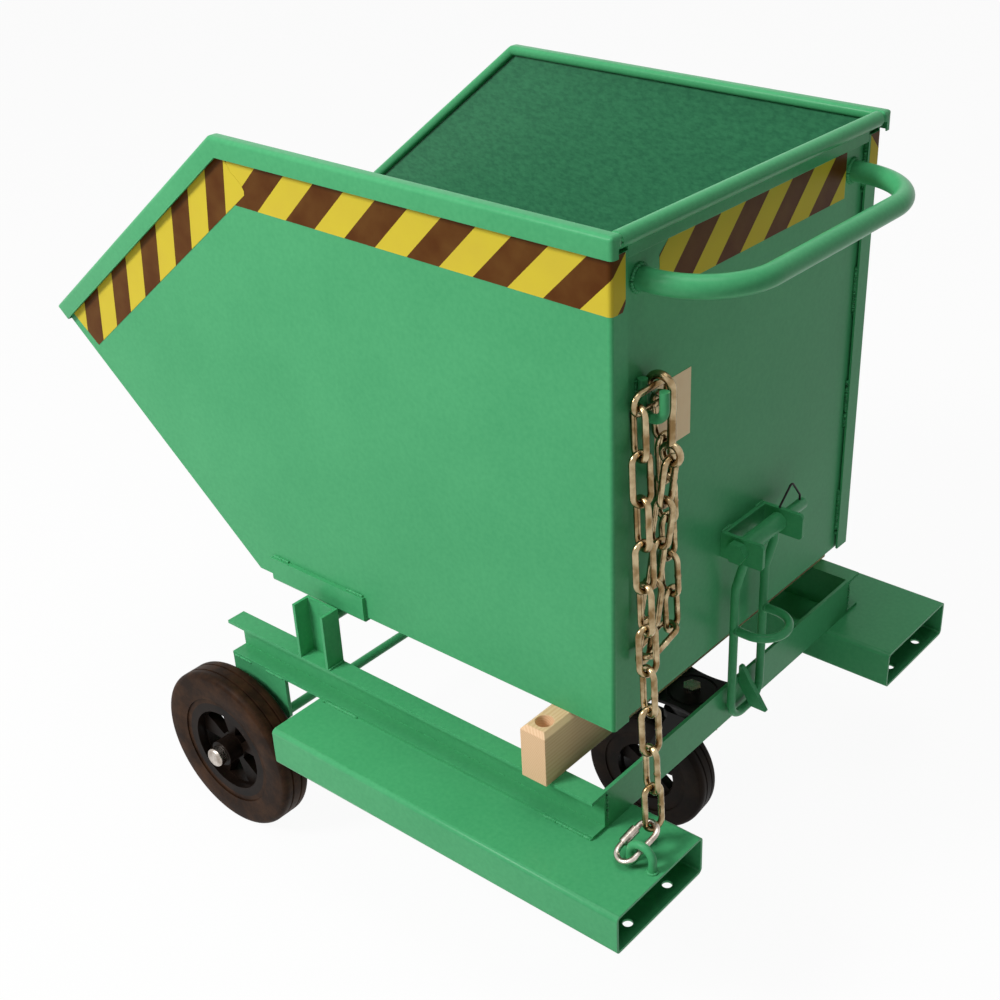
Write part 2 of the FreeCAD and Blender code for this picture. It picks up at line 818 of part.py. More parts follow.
def castor_fork(ring_low):
    """Crown and two tapered legs that carry the castor wheel."""
    half_gap = castor_hub_length / 2 + slide_gap
    crown_low = ring_low - castor_crown
    half_top = castor_leg_top / 2
    outer = half_gap + castor_leg
    crown = box(-half_top, half_top, -outer, outer, crown_low, ring_low)
    upright_edges = [edge for edge in crown.Edges if edge.BoundBox.ZLength > castor_crown / 2]
    crown = crown.makeFillet(castor_crown, upright_edges)
    solids = [crown]
    boss = castor_boss / 2
    leg_top = ring_low - castor_crown / 2
    for sign in (-1, 1):
        y0 = sign * half_gap
        y1 = sign * outer
        leg = side_profile([
            (-half_top + castor_crown, leg_top), (half_top - castor_crown, leg_top),
            (-castor_trail + boss, castor_z), (-castor_trail - boss, castor_z),
        ], y0, y1)
        solids.append(leg)
        solids.append(rod_y(-castor_trail, castor_z, boss, y0, y1))
    fork = joined(solids)
    fork = fork.cut(rod_y(-castor_trail, castor_z, castor_axle / 2 + running_fit, -outer, outer))
    return fork.cut(rod_z(0, 0, king_bolt / 2, crown_low, ring_low))


def in_castor(solid):
    """Turn a solid made about the swivel axis to the castor's place."""
    solid.rotate(V(0, 0, 0), V(0, 0, 1), castor_turn)
    solid.translate(V(castor_x, 0, 0))
    return solid


def build_castor():
    plate_low = pocket_top - castor_plate
    ring_high = plate_low - castor_race_height - slide_gap
    ring_low = ring_high - castor_ring_height
    crown_low = ring_low - castor_crown
    write("castor_top_plate", [castor_plate_solid()])
    bolts = []
    for x, y in castor_bolt_places():
        seat = channel_wall if x > castor_x else carrier_thickness
        bolts.append(bolt_and_nut(castor_bolt, x, y, plate_low, pocket_top + seat))
    write("castor_plate_bolts", bolts)
    ring = rod_z(0, 0, castor_ring / 2, ring_low, ring_high).cut(rod_z(0, 0, king_bolt / 2, ring_low, ring_high))
    write("castor_swivel_ring", [in_castor(ring)])
    write("castor_fork", [in_castor(castor_fork(ring_low))])
    head = pocket_top + slide_gap
    king = rod_z(0, 0, king_bolt / 2, crown_low, head)
    king = joined([king, hexagon(bolt_flats * king_bolt, head, head + bolt_head * king_bolt)])
    write("castor_king_bolt", [in_castor(king)])
    outer = castor_hub_length / 2 + slide_gap + castor_leg
    head_length = bolt_head * castor_axle
    pin = rod_y(-castor_trail, castor_z, castor_axle / 2, -outer - head_length, outer + head_length)
    heads = []
    for sign in (-1, 1):
        nut = hexagon(bolt_flats * castor_axle, 0, head_length)
        nut.rotate(V(0, 0, 0), V(1, 0, 0), -90 * sign)
        nut.translate(V(-castor_trail, sign * outer, castor_z))
        heads.append(nut)
    write("castor_axle_bolt", [in_castor(joined([pin] + heads))])
    bush_outer = castor_axle / 2 + bush_wall
    pieces = {
        "tyre": tyre(castor_diameter, castor_width, castor_rim_diameter),
        "rim": spoked_rim(castor_rim_diameter, castor_width, castor_hub, castor_hub_length, bush_outer),
        "bush": bush(bush_outer, castor_axle / 2 + running_fit, castor_hub_length),
    }
    for piece, solid in pieces.items():
        solid.translate(V(-castor_trail, 0, castor_z))
        write("castor_wheel_" + piece, [in_castor(solid)])


# Latch

def latch_bracket():
    """Flat bar bent to a U, open to the rear, with rounded ears."""
    half = latch_inner_width / 2 + latch_wall
    low = latch_z - latch_ear_height / 2
    high = latch_z + latch_ear_height / 2
    block = box(back_face, latch_ear_depth, -half, half, low, high)
    ends = [edge for edge in block.Edges if edge.BoundBox.YLength > half
            and edge.CenterOfMass.x > latch_x]
    block = block.makeFillet(latch_wall, ends)
    gap_end = latch_ear_depth + latch_wall
    gap = box(back_face + latch_wall, gap_end, latch_wall - half, half - latch_wall, low, high)
    hole = rod_y(latch_x, latch_z, latch_bolt / 2, -half, half)
    return block.cut(gap).cut(hole)


def latch_bolt_solid():
    """Pivot bolt with its head on the left and a stub on the right, drilled for the clip."""
    half = latch_inner_width / 2 + latch_wall
    head = hexagon(bolt_flats * latch_bolt, 0, bolt_head * latch_bolt)
    head.rotate(V(0, 0, 0), V(1, 0, 0), 90)
    head.translate(V(latch_x, -half, latch_z))
    stub_end = half + latch_bolt_stub
    shank = rod_y(latch_x, latch_z, latch_bolt / 2, -half, stub_end)
    hole = rod_z(latch_x, clip_y, clip_wire / 2, latch_z - latch_bolt, latch_z + latch_bolt)
    return joined([shank, head]).cut(hole)


clip_y = latch_inner_width / 2 + latch_wall + latch_bolt_stub - latch_bolt / 2


def latch_clip():
    """Wire clip through the stub, bent over and back down to the bracket."""
    half = latch_inner_width / 2 + latch_wall
    foot = latch_z + latch_ear_height / 2 + clip_wire / 2
    peak = latch_z + clip_rise + clip_wire
    points = [
        V(latch_x, clip_y, latch_z - latch_bolt),
        V(latch_x, clip_y, latch_z + latch_bolt),
        V(latch_x, (clip_y + half) / 2, peak),
        V(latch_x, half - latch_wall, foot),
    ]
    return bent_rod(points, clip_wire, 2 * clip_wire)


def sleeve_outside():
    half = latch_inner_width / 2 - slide_gap
    return rod_y(latch_x, latch_z, latch_sleeve / 2, -half, half)


bail_bottom = channel_top - catch_drop - bail_rod / 2 - bail_slack


def bail():
    """Bent rod that hangs from the sleeve, cranked in to the back wall, with a U at its foot."""
    crank = latch_z - bail_crank_drop
    left = -bail_half_width
    points = [
        V(latch_x, left, latch_z), V(latch_x, left, latch_z - bail_stem), V(bail_setback, left, crank),
        V(bail_setback, left, bail_bottom), V(bail_setback, -left, bail_bottom), V(bail_setback, -left, crank),
        V(latch_x, -left, latch_z - bail_stem), V(latch_x, -left, latch_z),
    ]
    return bent_rod(points, bail_rod, bail_corner)


def hand_loop():
    """D-shaped pull loop across the bail's legs."""
    z = latch_z - hand_loop_drop
    outer_x = hand_loop_reach - bail_rod / 2
    half = bail_half_width
    start_x = outer_x - half
    arc = Part.Arc(V(start_x, -half, z), V(outer_x, 0, z), V(start_x, half, z)).toShape()
    path = Part.Wire([
        Part.makeLine(V(bail_setback, -half, z), V(start_x, -half, z)), arc,
        Part.makeLine(V(start_x, half, z), V(bail_setback, half, z)),
    ])
    section = Part.Wire(Part.makeCircle(bail_rod / 2, V(bail_setback, -half, z), V(1, 0, 0)))
    return path.makePipeShell([section], True, False)


def build_latch():
    write("latch_bracket", [latch_bracket()])
    write("latch_pivot_bolt", [latch_bolt_solid()])
    write("latch_clip", [latch_clip()])
    bore = rod_y(latch_x, latch_z, latch_bolt / 2 + running_fit, -latch_inner_width, latch_inner_width)
    write("latch_sleeve", [sleeve_outside().cut(bore)])
    write("latch_bail", [bail().cut(sleeve_outside())])
    legs = [rod_z(bail_setback, sign * bail_half_width, bail_rod / 2, bail_bottom, latch_z) for sign in (-1, 1)]
    write("latch_hand_loop", [hand_loop().cut(legs[0]).cut(legs[1])])


# Chain, its hooks and its anchor

link_radius = (chain_link_width - chain_wire) / 2
hook_centre = V(back_face + hook_rod / 2 + hook_bend, hook_y, skip_base + hook_height)
eye_y = -pocket_middle


def chain_hook():
    """J-shaped rod on the back wall that the chain is stowed on."""
    wall_x = hook_centre.x - hook_bend
    tip_x = hook_centre.x + hook_bend
    foot = hook_centre - V(0, 0, hook_bend)
    bend = Part.Arc(V(wall_x, hook_y, hook_centre.z), foot, V(tip_x, hook_y, hook_centre.z)).toShape()
    top = V(wall_x, hook_y, hook_centre.z + hook_leg)
    tip = V(tip_x, hook_y, hook_centre.z + hook_tip)
    path = Part.Wire([
        Part.makeLine(top, V(wall_x, hook_y, hook_centre.z)), bend,
        Part.makeLine(V(tip_x, hook_y, hook_centre.z), tip),
    ])
    section = Part.Wire(Part.makeCircle(hook_rod / 2, top, V(0, 0, 1)))
    return path.makePipeShell([section], True, False)


def chain_eye():
    """Round bar arch welded to the top of the left fork pocket."""
    half = eye_span / 2
    spring = pocket_top + eye_height - eye_rod / 2 - half
    points = [V(eye_setback - half, eye_y, pocket_top), V(eye_setback + half, eye_y, pocket_top)]
    high = [V(point.x, point.y, spring) for point in points]
    crown = V(eye_setback, eye_y, spring + half)
    path = Part.Wire([
        Part.makeLine(points[0], high[0]), Part.Arc(high[0], crown, high[1]).toShape(),
        Part.makeLine(high[1], points[1]),
    ])
    section = Part.Wire(Part.makeCircle(eye_rod / 2, points[0], V(0, 0, 1)))
    return path.makePipeShell([section], True, False)


def ring_link(length, radius, wire):
    """A long link standing on z, with its width along x; length and radius are to the wire's middle."""
    half = length / 2 - radius
    legs = [Part.makeCylinder(wire / 2, 2 * half, V(sign * radius, 0, -half)) for sign in (-1, 1)]
    ends = []
    for sign in (-1, 1):
        section = Part.Face(Part.Wire(Part.makeCircle(wire / 2, V(radius, 0, sign * half), V(0, 0, 1))))
        ends.append(section.revolve(V(0, 0, sign * half), V(0, 1, 0), -180 * sign))
    return joined(legs + ends)


def posed(solid, middle, along, across):
    """A copy of a solid with its z along one direction and its x towards another."""
    z_axis = FreeCAD.Vector(along).normalize()
    x_axis = (across - z_axis * across.dot(z_axis)).normalize()
    y_axis = z_axis.cross(x_axis)
    copy = solid.copy()
    matrix = FreeCAD.Matrix(
        x_axis.x, y_axis.x, z_axis.x, middle.x, x_axis.y, y_axis.y, z_axis.y, middle.y,
        x_axis.z, y_axis.z, z_axis.z, middle.z, 0, 0, 0, 1)
    copy.Placement = FreeCAD.Placement(matrix)
    return copy


# The quick link lies from the foot of the eye towards the skip, its outer end raised.
quick_along = V(0.19, 0.88, 0.43).normalize()
quick_across = V(0.88, -0.19, 0).normalize()
quick_half = quick_length / 2 - quick_wire / 2
quick_radius = (quick_width - quick_wire) / 2
quick_seat = V(eye_setback - eye_span / 2, eye_y, pocket_top + eye_height / 2)
quick_middle = quick_seat + quick_along * (eye_rod + quick_slack)
quick_end = quick_middle + quick_along * quick_half

link_step_in = chain_wire + link_gap
run_bottom = quick_end - V(0, 0, (quick_wire + chain_wire) / 2 + link_gap)
groove_reach = hook_bend - hook_rod / 2 - chain_wire / 2 - slide_gap
stack_half = link_step_in / 2
groove_drop = math.sqrt(groove_reach ** 2 - stack_half ** 2)
saddle_wire = hook_centre + V(-stack_half, 0, -groove_drop)
seat_shift = (link_radius - link_step_in) * math.sqrt(0.5)


def saddle_end(length, sign):
    """Where the next link's wire sits in one end of the link that saddles the hook."""
    bow = length / 2 - link_radius
    return saddle_wire + V(0, sign * (bow + seat_shift), link_radius - seat_shift)


def run_length(length):
    return (saddle_end(length, -1) - run_bottom).Length


# The links' length fills the run exactly; it starts from a guess and settles, because the saddle link moves too.
link_length = 2 * chain_link_width
for attempt in range(20):
    link_length = (run_length(link_length) + (chain_run_links - 1) * link_step_in) / chain_run_links
link_pitch = link_length - link_step_in


def strand(link, top, bottom, count, turn):
    """Links hung in line from one wire's place to another, each a quarter turn from the last."""
    along = (top - bottom).normalize()
    step = ((top - bottom).Length - link_length) / (count - 1)
    links = []
    for index in range(count):
        middle = top - along * (link_length / 2 + index * step)
        angle = math.radians(turn + index * 90)
        links.append(posed(link, middle, along, V(math.cos(angle), math.sin(angle), 0)))
    return links


def strand_length(count):
    return link_length + (count - 1) * link_pitch


# The end hook hangs over the upper wire of the saddle link, between the stowing hook and the slack loop.
end_hook_room = (hook_y + hook_rod / 2, saddle_end(link_length, 1).y - chain_wire / 2)
end_hook_slack = end_hook_bowl - end_hook_rod / 2 - chain_wire / 2 - 2 * link_gap
end_hook_x = back_face + end_hook_rod / 2 + link_gap + end_hook_bowl
end_hook_drop = math.sqrt(end_hook_slack ** 2 - (end_hook_x - saddle_wire.x) ** 2)
end_hook_middle = V(end_hook_x, sum(end_hook_room) / 2, saddle_wire.z + 2 * link_radius - end_hook_drop)
end_hook_eye_radius = end_hook_eye / 2
end_hook_eye_middle = end_hook_middle + V(end_hook_bowl, 0, -end_hook_shank - end_hook_eye_radius)


def chain_links():
    """The stowed chain: the run from the anchor, the link on the hook, and the slack loop beside it."""
    link = ring_link(link_length, link_radius, chain_wire)
    links = strand(link, saddle_end(link_length, -1), run_bottom, chain_run_links, chain_run_turn)
    links.append(posed(link, saddle_wire + V(0, 0, link_radius), V(0, 1, 0), V(0, 0, 1)))
    loop_top = saddle_end(link_length, 1)
    lean = V(0, chain_loop_lean, -1).normalize()
    loop_bottom = loop_top + lean * strand_length(chain_loop_links)
    links += strand(link, loop_top, loop_bottom, chain_loop_links, 0)
    wire_step = (chain_wire + end_hook_eye_wire) / 2 + link_gap
    return_top = end_hook_eye_middle + V(0, 0, wire_step - end_hook_eye_radius)
    return_length = strand_length(chain_return_links)
    return_bottom = return_top - V(0, 0, return_length)
    for attempt in range(20):
        across = math.sqrt(link_length ** 2 - (loop_bottom.z - return_bottom.z) ** 2)
        aside = V(loop_bottom.x - return_top.x, loop_bottom.y - across - return_top.y, 0)
        return_bottom = return_top + aside - V(0, 0, math.sqrt(return_length ** 2 - aside.Length ** 2))
    links += strand(link, return_top, return_bottom, chain_return_links, 90)
    middle = (loop_bottom + return_bottom) / 2 + V(0, 0, link_step_in)
    links.append(posed(link, middle, loop_bottom - return_bottom, V(1, 0, 0)))
    return links


def on_bowl(turn, radius):
    """A point round the end hook's bowl, turned from the shank over the top."""
    angle = math.radians(turn)
    return end_hook_middle + V(math.cos(angle), 0, math.sin(angle)) * radius


def end_hook():
    """Forged hook that hangs by its bowl, with its eye below."""
    bowl_start, crown, bowl_end = [on_bowl(end_hook_tip_turn * part / 2, end_hook_bowl) for part in range(3)]
    shank_low = bowl_start - V(0, 0, end_hook_shank)
    path = Part.Wire([Part.makeLine(shank_low, bowl_start), Part.Arc(bowl_start, crown, bowl_end).toShape()])
    section = Part.Wire(Part.makeCircle(end_hook_rod / 2, shank_low, V(0, 0, 1)))
    eye = Part.makeTorus(end_hook_eye_radius, end_hook_eye_wire / 2, end_hook_eye_middle, V(0, 1, 0))
    return joined([path.makePipeShell([section], True, False), eye])


def hook_catch():
    """Flat spring catch from the shank to the inside of the hook's tip."""
    inside = end_hook_bowl - end_hook_rod / 2 - slide_gap
    start = on_bowl(0, inside) - V(0, 0, end_hook_rod)
    end = on_bowl(end_hook_tip_turn, inside)
    along = (end - start).normalize()
    below = V(-along.z, 0, along.x)
    corners = [start, end, end + below * hook_catch_wall, start + below * hook_catch_wall]
    half = hook_catch_width / 2
    return face_of([corner - V(0, half, 0) for corner in corners]).extrude(V(0, hook_catch_width, 0))


def build_chain():
    write("chain_hook", [chain_hook()])
    write("chain_eye", [chain_eye()])
    ring = ring_link(2 * quick_half, quick_radius, quick_wire)
    sleeve = rod_z(-quick_radius, 0, quick_sleeve / 2, -quick_sleeve_length / 2, quick_sleeve_length / 2)
    sleeve = sleeve.cut(rod_z(-quick_radius, 0, quick_wire / 2, -quick_length, quick_length))
    write("quick_link", [posed(ring, quick_middle, quick_along, quick_across)])
    write("quick_link_sleeve", [posed(sleeve, quick_middle, quick_along, quick_across)])
    write("chain_links", chain_links())
    write("chain_end_hook", [end_hook()])
    write("end_hook_catch", [hook_catch()])


os.makedirs("parts", exist_ok=True)
build_frame()
build_wheels()
build_castor()
build_skip()
build_latch()
build_chain()
print("link length", round(link_length + chain_wire, 2))
print("tipping axis", pivot_x + origin_shift, pivot_z, "latch axis", latch_x + origin_shift, latch_z)
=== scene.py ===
# %% [markdown]
# # Tipping skip trolley: its finishes and its small pieces
# The steel work is already there as a fixed frame: every plate, channel, wheel and chain link is a solid at
# its real size. This lesson gives each of them the surface that the real one has, and adds what is too small
# or too thin for the frame: striped tape, a bare label plate, weld beads and the weld marks of the chain. Two
# plain rims of the frame also get their folded form.

# %% Load the frame
import json
import math
import random

import bmesh
import bpy
import numpy
from mathutils import Matrix, Vector


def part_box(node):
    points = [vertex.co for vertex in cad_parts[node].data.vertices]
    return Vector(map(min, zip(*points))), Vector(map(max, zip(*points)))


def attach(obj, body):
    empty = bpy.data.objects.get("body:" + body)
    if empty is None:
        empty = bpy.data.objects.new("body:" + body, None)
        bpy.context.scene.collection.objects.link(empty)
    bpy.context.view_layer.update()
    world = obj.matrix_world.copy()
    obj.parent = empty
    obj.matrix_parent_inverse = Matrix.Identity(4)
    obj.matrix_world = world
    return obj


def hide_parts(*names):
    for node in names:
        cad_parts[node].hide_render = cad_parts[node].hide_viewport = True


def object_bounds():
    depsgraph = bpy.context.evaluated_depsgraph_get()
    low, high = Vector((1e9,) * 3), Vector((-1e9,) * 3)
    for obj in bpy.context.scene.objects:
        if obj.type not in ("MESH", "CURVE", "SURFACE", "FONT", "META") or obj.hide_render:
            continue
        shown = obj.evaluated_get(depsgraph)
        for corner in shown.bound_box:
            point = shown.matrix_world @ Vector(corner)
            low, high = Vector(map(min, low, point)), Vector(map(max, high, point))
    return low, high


MM = 0.001
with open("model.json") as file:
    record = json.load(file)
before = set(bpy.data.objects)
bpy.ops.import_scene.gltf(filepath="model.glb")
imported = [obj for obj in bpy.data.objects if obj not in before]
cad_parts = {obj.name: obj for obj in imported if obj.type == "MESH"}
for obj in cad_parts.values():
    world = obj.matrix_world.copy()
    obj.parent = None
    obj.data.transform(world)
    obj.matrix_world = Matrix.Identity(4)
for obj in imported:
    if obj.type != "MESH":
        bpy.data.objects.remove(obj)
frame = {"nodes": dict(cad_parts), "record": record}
cad_low, cad_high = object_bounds()
print("frame holds", len(frame["nodes"]), "nodes, size", [round(v, 3) for v in cad_high - cad_low])

# %% [markdown]
# ## The camera
# The view was measured on the photograph: straight edges of the skip gave the direction, and the lens
# followed from how fast they run together. A camera could be aimed with a constraint, but a turn and a tilt
# written as angles are easier to check. The picture was cropped off its centre, which is what the shift is
# for.

# %% Camera
PICTURE = 1000.0
SENSOR = 36.0
camera_place = Vector((1351.4, -1460.2, 1570.8)) * MM
camera_turn, camera_tilt, camera_roll = (math.radians(angle) for angle in (37.87, 30.56, -0.72))
focal_pixels = 1516.65
lens_centre = (602.8, 528.3)
camera_data = bpy.data.cameras.new("photo_camera")
camera_data.sensor_width = SENSOR
camera_data.lens = focal_pixels / PICTURE * SENSOR
camera_data.shift_x = 0.5 - lens_centre[0] / PICTURE
camera_data.shift_y = lens_centre[1] / PICTURE - 0.5
camera = bpy.data.objects.new("photo_camera", camera_data)
turn = Matrix.Rotation(camera_turn, 4, "Z")
tilt = Matrix.Rotation(math.pi / 2 - camera_tilt, 4, "X")
roll = Matrix.Rotation(camera_roll, 4, "Z")
camera.matrix_world = Matrix.Translation(camera_place) @ turn @ tilt @ roll
bpy.context.scene.collection.objects.link(camera)
bpy.context.scene.camera = camera
print("camera lens", round(camera_data.lens, 2), "mm")

# %% [markdown]
# ## Colours and shader nodes
# Colours are written as they look on a screen, in hex, and one function turns them into the linear values
# that light is added up in. One function adds a node with its settings and links, so each finish below reads
# as a list.

# %% Helpers for finishes
def linear(colour):
    """Linear red, green, blue and alpha from a screen colour such as #40a070."""
    values = [int(colour[start:start + 2], 16) / 255 for start in (1, 3, 5)]
    return [v / 12.92 if v <= 0.04045 else ((v + 0.055) / 1.055) ** 2.4 for v in values] + [1.0]


def per_mm(size):
    """Texture scale that makes a feature this many millimetres across."""
    return 1.0 / (size * MM)


def add(tree, kind, inputs=None, **settings):
    """Add one shader node, set it up, and set or link its inputs."""
    node = tree.nodes.new("ShaderNode" + kind)
    for name, value in settings.items():
        setattr(node, name, value)
    for name, value in (inputs or {}).items():
        if isinstance(value, bpy.types.NodeSocket):
            tree.links.new(value, node.inputs[name])
        else:
            node.inputs[name].default_value = value
    return node


def new_finish(name):
    """A material with an empty tree, its shader, and coordinates in metres that ride with the piece."""
    finish = bpy.data.materials.new(name)
    finish.use_nodes = True
    tree = finish.node_tree
    tree.nodes.clear()
    shader = add(tree, "BsdfPrincipled")
    add(tree, "OutputMaterial", {"Surface": shader.outputs[0]})
    place = add(tree, "TexCoord").outputs["Object"]
    return finish, tree, shader, place


# %% [markdown]
# ## Inside or outside of the skip
# One sheet has a plain coat on its outer face, and on its inner face a streaked coat that is darker by
# painted shade. Two materials on one sheet would mean cutting its mesh, so the shader asks instead on which
# side of the sheet's middle a point lies: between the side walls, before the back wall, above the floor and
# on the inner side of the chute.

# %% Inside of the skip
SHEET = 3.0
TOP_CORNER = Vector((-164.0, 0.0, 1045.0))
LIP = Vector((-571.0, 0.0, 724.0))
FRONT_FOOT = Vector((-192.0, 0.0, 405.0))
half_sheet = SHEET / 2 * MM
side_inside = -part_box("left_side_wall")[0].y - half_sheet
back_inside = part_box("back_wall")[1].x - half_sheet
chute_down = (FRONT_FOOT - LIP).normalized()
chute_in = Vector((-chute_down.z, 0.0, chute_down.x))
floor_corners = [corner.co for corner in frame["nodes"]["floor_and_chute"].data.vertices]
floor_inside = min(corner.z for corner in floor_corners) + half_sheet
chute_inside = min(chute_in.dot(corner) for corner in floor_corners) + half_sheet


def is_inside(tree, place):
    """One on the inner faces of the skip's sheets, and zero on their outer faces."""
    parts = add(tree, "SeparateXYZ", {0: place})
    beside = add(tree, "Math", {0: parts.outputs["Y"]}, operation="ABSOLUTE")
    from_chute = add(tree, "VectorMath", {0: place, 1: chute_in}, operation="DOT_PRODUCT")
    tests = [
        add(tree, "Math", {0: beside.outputs[0], 1: side_inside}, operation="LESS_THAN"),
        add(tree, "Math", {0: parts.outputs["X"], 1: back_inside}, operation="LESS_THAN"),
        add(tree, "Math", {0: parts.outputs["Z"], 1: floor_inside}, operation="GREATER_THAN"),
        add(tree, "Math", {0: from_chute.outputs["Value"], 1: chute_inside}, operation="GREATER_THAN"),
    ]
    inside = tests[0]
    for test in tests[1:]:
        inside = add(tree, "Math", {0: inside.outputs[0], 1: test.outputs[0]}, operation="MULTIPLY")
    return inside.outputs[0]


print("skip is", round(2 * side_inside / MM), "mm wide between the middles of its sheets")

# %% [markdown]
# ## Enamel paint
# The skip and the frame are welded mild steel, sprayed with an air-drying enamel, green on most of it and
# black on the castor; the castor's black is painted shade for the deep shade under the skip. Spraying leaves
# a fine orange peel, a faintly uneven tone where the coat is thinner, and a satin gloss that softens every
# reflection. One flat colour would look like plastic, so noise at two sizes gives the tone, noise a few
# millimetres wide gives the peel as a bump, and a very wide one gives the slow wave of welded sheet. Inside
# the skip the coat is streaked and darker, and the darkening is painted shade for the inside of the skip.

# %% Enamel
TONE_CLOUD = 160.0
TONE_SPECK = 6.0
PEEL_SIZE, PEEL_HEIGHT = 3.0, 0.1
WAVE_SIZE, WAVE_HEIGHT = 220.0, 2.0
STREAK_SIZE = 4.5
STREAK_STRETCH = (0.5, 0.5, 1.0)
ENAMEL_SPECULAR = 0.14


def sprayed_enamel(name, thin_coat, full_coat, roughness, inner_streaks_and_shade=None):
    """Satin enamel, with a streaked inner coat darkened by painted shade where two more colours are given for
    it.
    """
    finish, tree, shader, place = new_finish(name)
    cloud = add(tree, "TexNoise", {"Vector": place, "Scale": per_mm(TONE_CLOUD), "Detail": 4.0})
    speck = add(tree, "TexNoise", {"Vector": place, "Scale": per_mm(TONE_SPECK), "Detail": 3.0})
    tone = add(tree, "Math", {0: cloud.outputs[0], 1: speck.outputs[0]}, operation="ADD")
    spread = add(tree, "MapRange", {"Value": tone.outputs[0], "From Min": 0.65, "From Max": 1.35})
    coat = add(tree, "MixRGB", {
        "Fac": spread.outputs[0], "Color1": linear(full_coat), "Color2": linear(thin_coat)})
    gloss = add(tree, "MapRange", {
        "Value": speck.outputs[0], "To Min": roughness - 0.05, "To Max": roughness + 0.07})
    peel = add(tree, "TexNoise", {"Vector": place, "Scale": per_mm(PEEL_SIZE), "Detail": 1.0})
    sheet = add(tree, "TexNoise", {"Vector": place, "Scale": per_mm(WAVE_SIZE), "Detail": 0.0})
    wave = add(tree, "Bump", {"Height": sheet.outputs[0], "Strength": 0.5, "Distance": WAVE_HEIGHT * MM})
    bump = add(tree, "Bump", {
        "Height": peel.outputs[0], "Normal": wave.outputs[0], "Strength": 0.25, "Distance": PEEL_HEIGHT * MM})
    # On the inner faces the coat is streaked and darker; the darkening is painted shade.
    if inner_streaks_and_shade:
        streaks = add(tree, "VectorMath", {0: place, 1: STREAK_STRETCH}, operation="MULTIPLY")
        streak = add(tree, "TexNoise", {
            "Vector": streaks.outputs[0], "Scale": per_mm(STREAK_SIZE), "Detail": 4.0})
        patchy = add(tree, "MapRange", {"Value": streak.outputs[0], "From Min": 0.3, "From Max": 0.7})
        streaked_inner_shade = add(tree, "MixRGB", {
            "Fac": patchy.outputs[0], "Color1": linear(inner_streaks_and_shade[0]), "Color2": linear(inner_streaks_and_shade[1])})
        coat = add(tree, "MixRGB", {
            "Fac": is_inside(tree, place), "Color1": coat.outputs[0], "Color2": streaked_inner_shade.outputs[0]})
    shader.inputs["Specular IOR Level"].default_value = ENAMEL_SPECULAR
    tree.links.new(coat.outputs[0], shader.inputs["Base Color"])
    tree.links.new(gloss.outputs[0], shader.inputs["Roughness"])
    tree.links.new(bump.outputs[0], shader.inputs["Normal"])
    return finish


GREEN_COATS = ("#51ad74", "#45a16a")
# The inner colours are darker than the outer ones: the streaks are real, the darkening is painted shade for
# the inside of the skip.
INNER_STREAKS_AND_SHADE = ("#357654", "#428b62")
green_enamel = sprayed_enamel("green_enamel_on_steel", *GREEN_COATS, 0.3)
skip_enamel_with_inner_shade = sprayed_enamel("green_enamel_with_painted_inner_shade", *GREEN_COATS, 0.34, INNER_STREAKS_AND_SHADE)
# The castor's black enamel is painted shade: it stands in for the deep shade under the skip.
black_enamel = sprayed_enamel("black_enamel_as_painted_shade", "#171412", "#0e0c0b", 0.4)
print("mixed", green_enamel.name, skip_enamel_with_inner_shade.name, black_enamel.name)

# %% [markdown]
# ## Zinc
# Small steel parts are plated with zinc. Clear passivated zinc is a light grey, and yellow passivated zinc is
# the straw gold of the chain, with paler and browner clouds where the film is thinner or thicker. The wheel
# bushes are turned steel, left bare, with a duller shine. All three are a metal with clouds between two
# tones, so one function makes them.

# %% Zinc and bare steel
GRIT_SIZE, GRIT_HEIGHT = 1.2, 0.05


def plated_metal(name, pale, deep, roughness, cloud_size):
    """A metal whose film goes from pale to deep in clouds, with a fine grit under it."""
    finish, tree, shader, place = new_finish(name)
    cloud = add(tree, "TexNoise", {"Vector": place, "Scale": per_mm(cloud_size), "Detail": 3.0})
    spread = add(tree, "MapRange", {"Value": cloud.outputs[0], "From Min": 0.35, "From Max": 0.65})
    film = add(tree, "MixRGB", {"Fac": spread.outputs[0], "Color1": linear(pale), "Color2": linear(deep)})
    gloss = add(tree, "MapRange", {
        "Value": cloud.outputs[0], "To Min": roughness - 0.1, "To Max": roughness + 0.1})
    grit = add(tree, "TexNoise", {"Vector": place, "Scale": per_mm(GRIT_SIZE), "Detail": 2.0})
    bump = add(tree, "Bump", {"Height": grit.outputs[0], "Strength": 0.2, "Distance": GRIT_HEIGHT * MM})
    shader.inputs["Metallic"].default_value = 1.0
    tree.links.new(film.outputs[0], shader.inputs["Base Color"])
    tree.links.new(gloss.outputs[0], shader.inputs["Roughness"])
    tree.links.new(bump.outputs[0], shader.inputs["Normal"])
    return finish


yellow_zinc = plated_metal("yellow_passivated_zinc", "#bba986", "#806743", 0.22, 16.0)
bright_zinc = plated_metal("clear_passivated_zinc", "#cdc4bb", "#a2968b", 0.26, 10.0)
bare_steel = plated_metal("turned_steel", "#b4b2ae", "#94918c", 0.35, 20.0)
print("plated", yellow_zinc.name, bright_zinc.name, bare_steel.name)

# %% [markdown]
# ## Rubber and nylon
# The tyres are solid rubber, which goes brownish and dusty with use. The castor's tyre is a blacker copy,
# whose extra darkness is painted shade for the deep shade under the skip. The rims are injection moulded
# nylon filled with carbon black, with the fine matt grain of a spark-eroded mould.
# Dust could be painted on by hand, but noise lays it the same way on every wheel. All three mirror very
# little, so that they stay dark beside a white floor.

# %% Rubber and nylon
DUST_CLOUD = 35.0
MATT_SPECULAR = 0.06


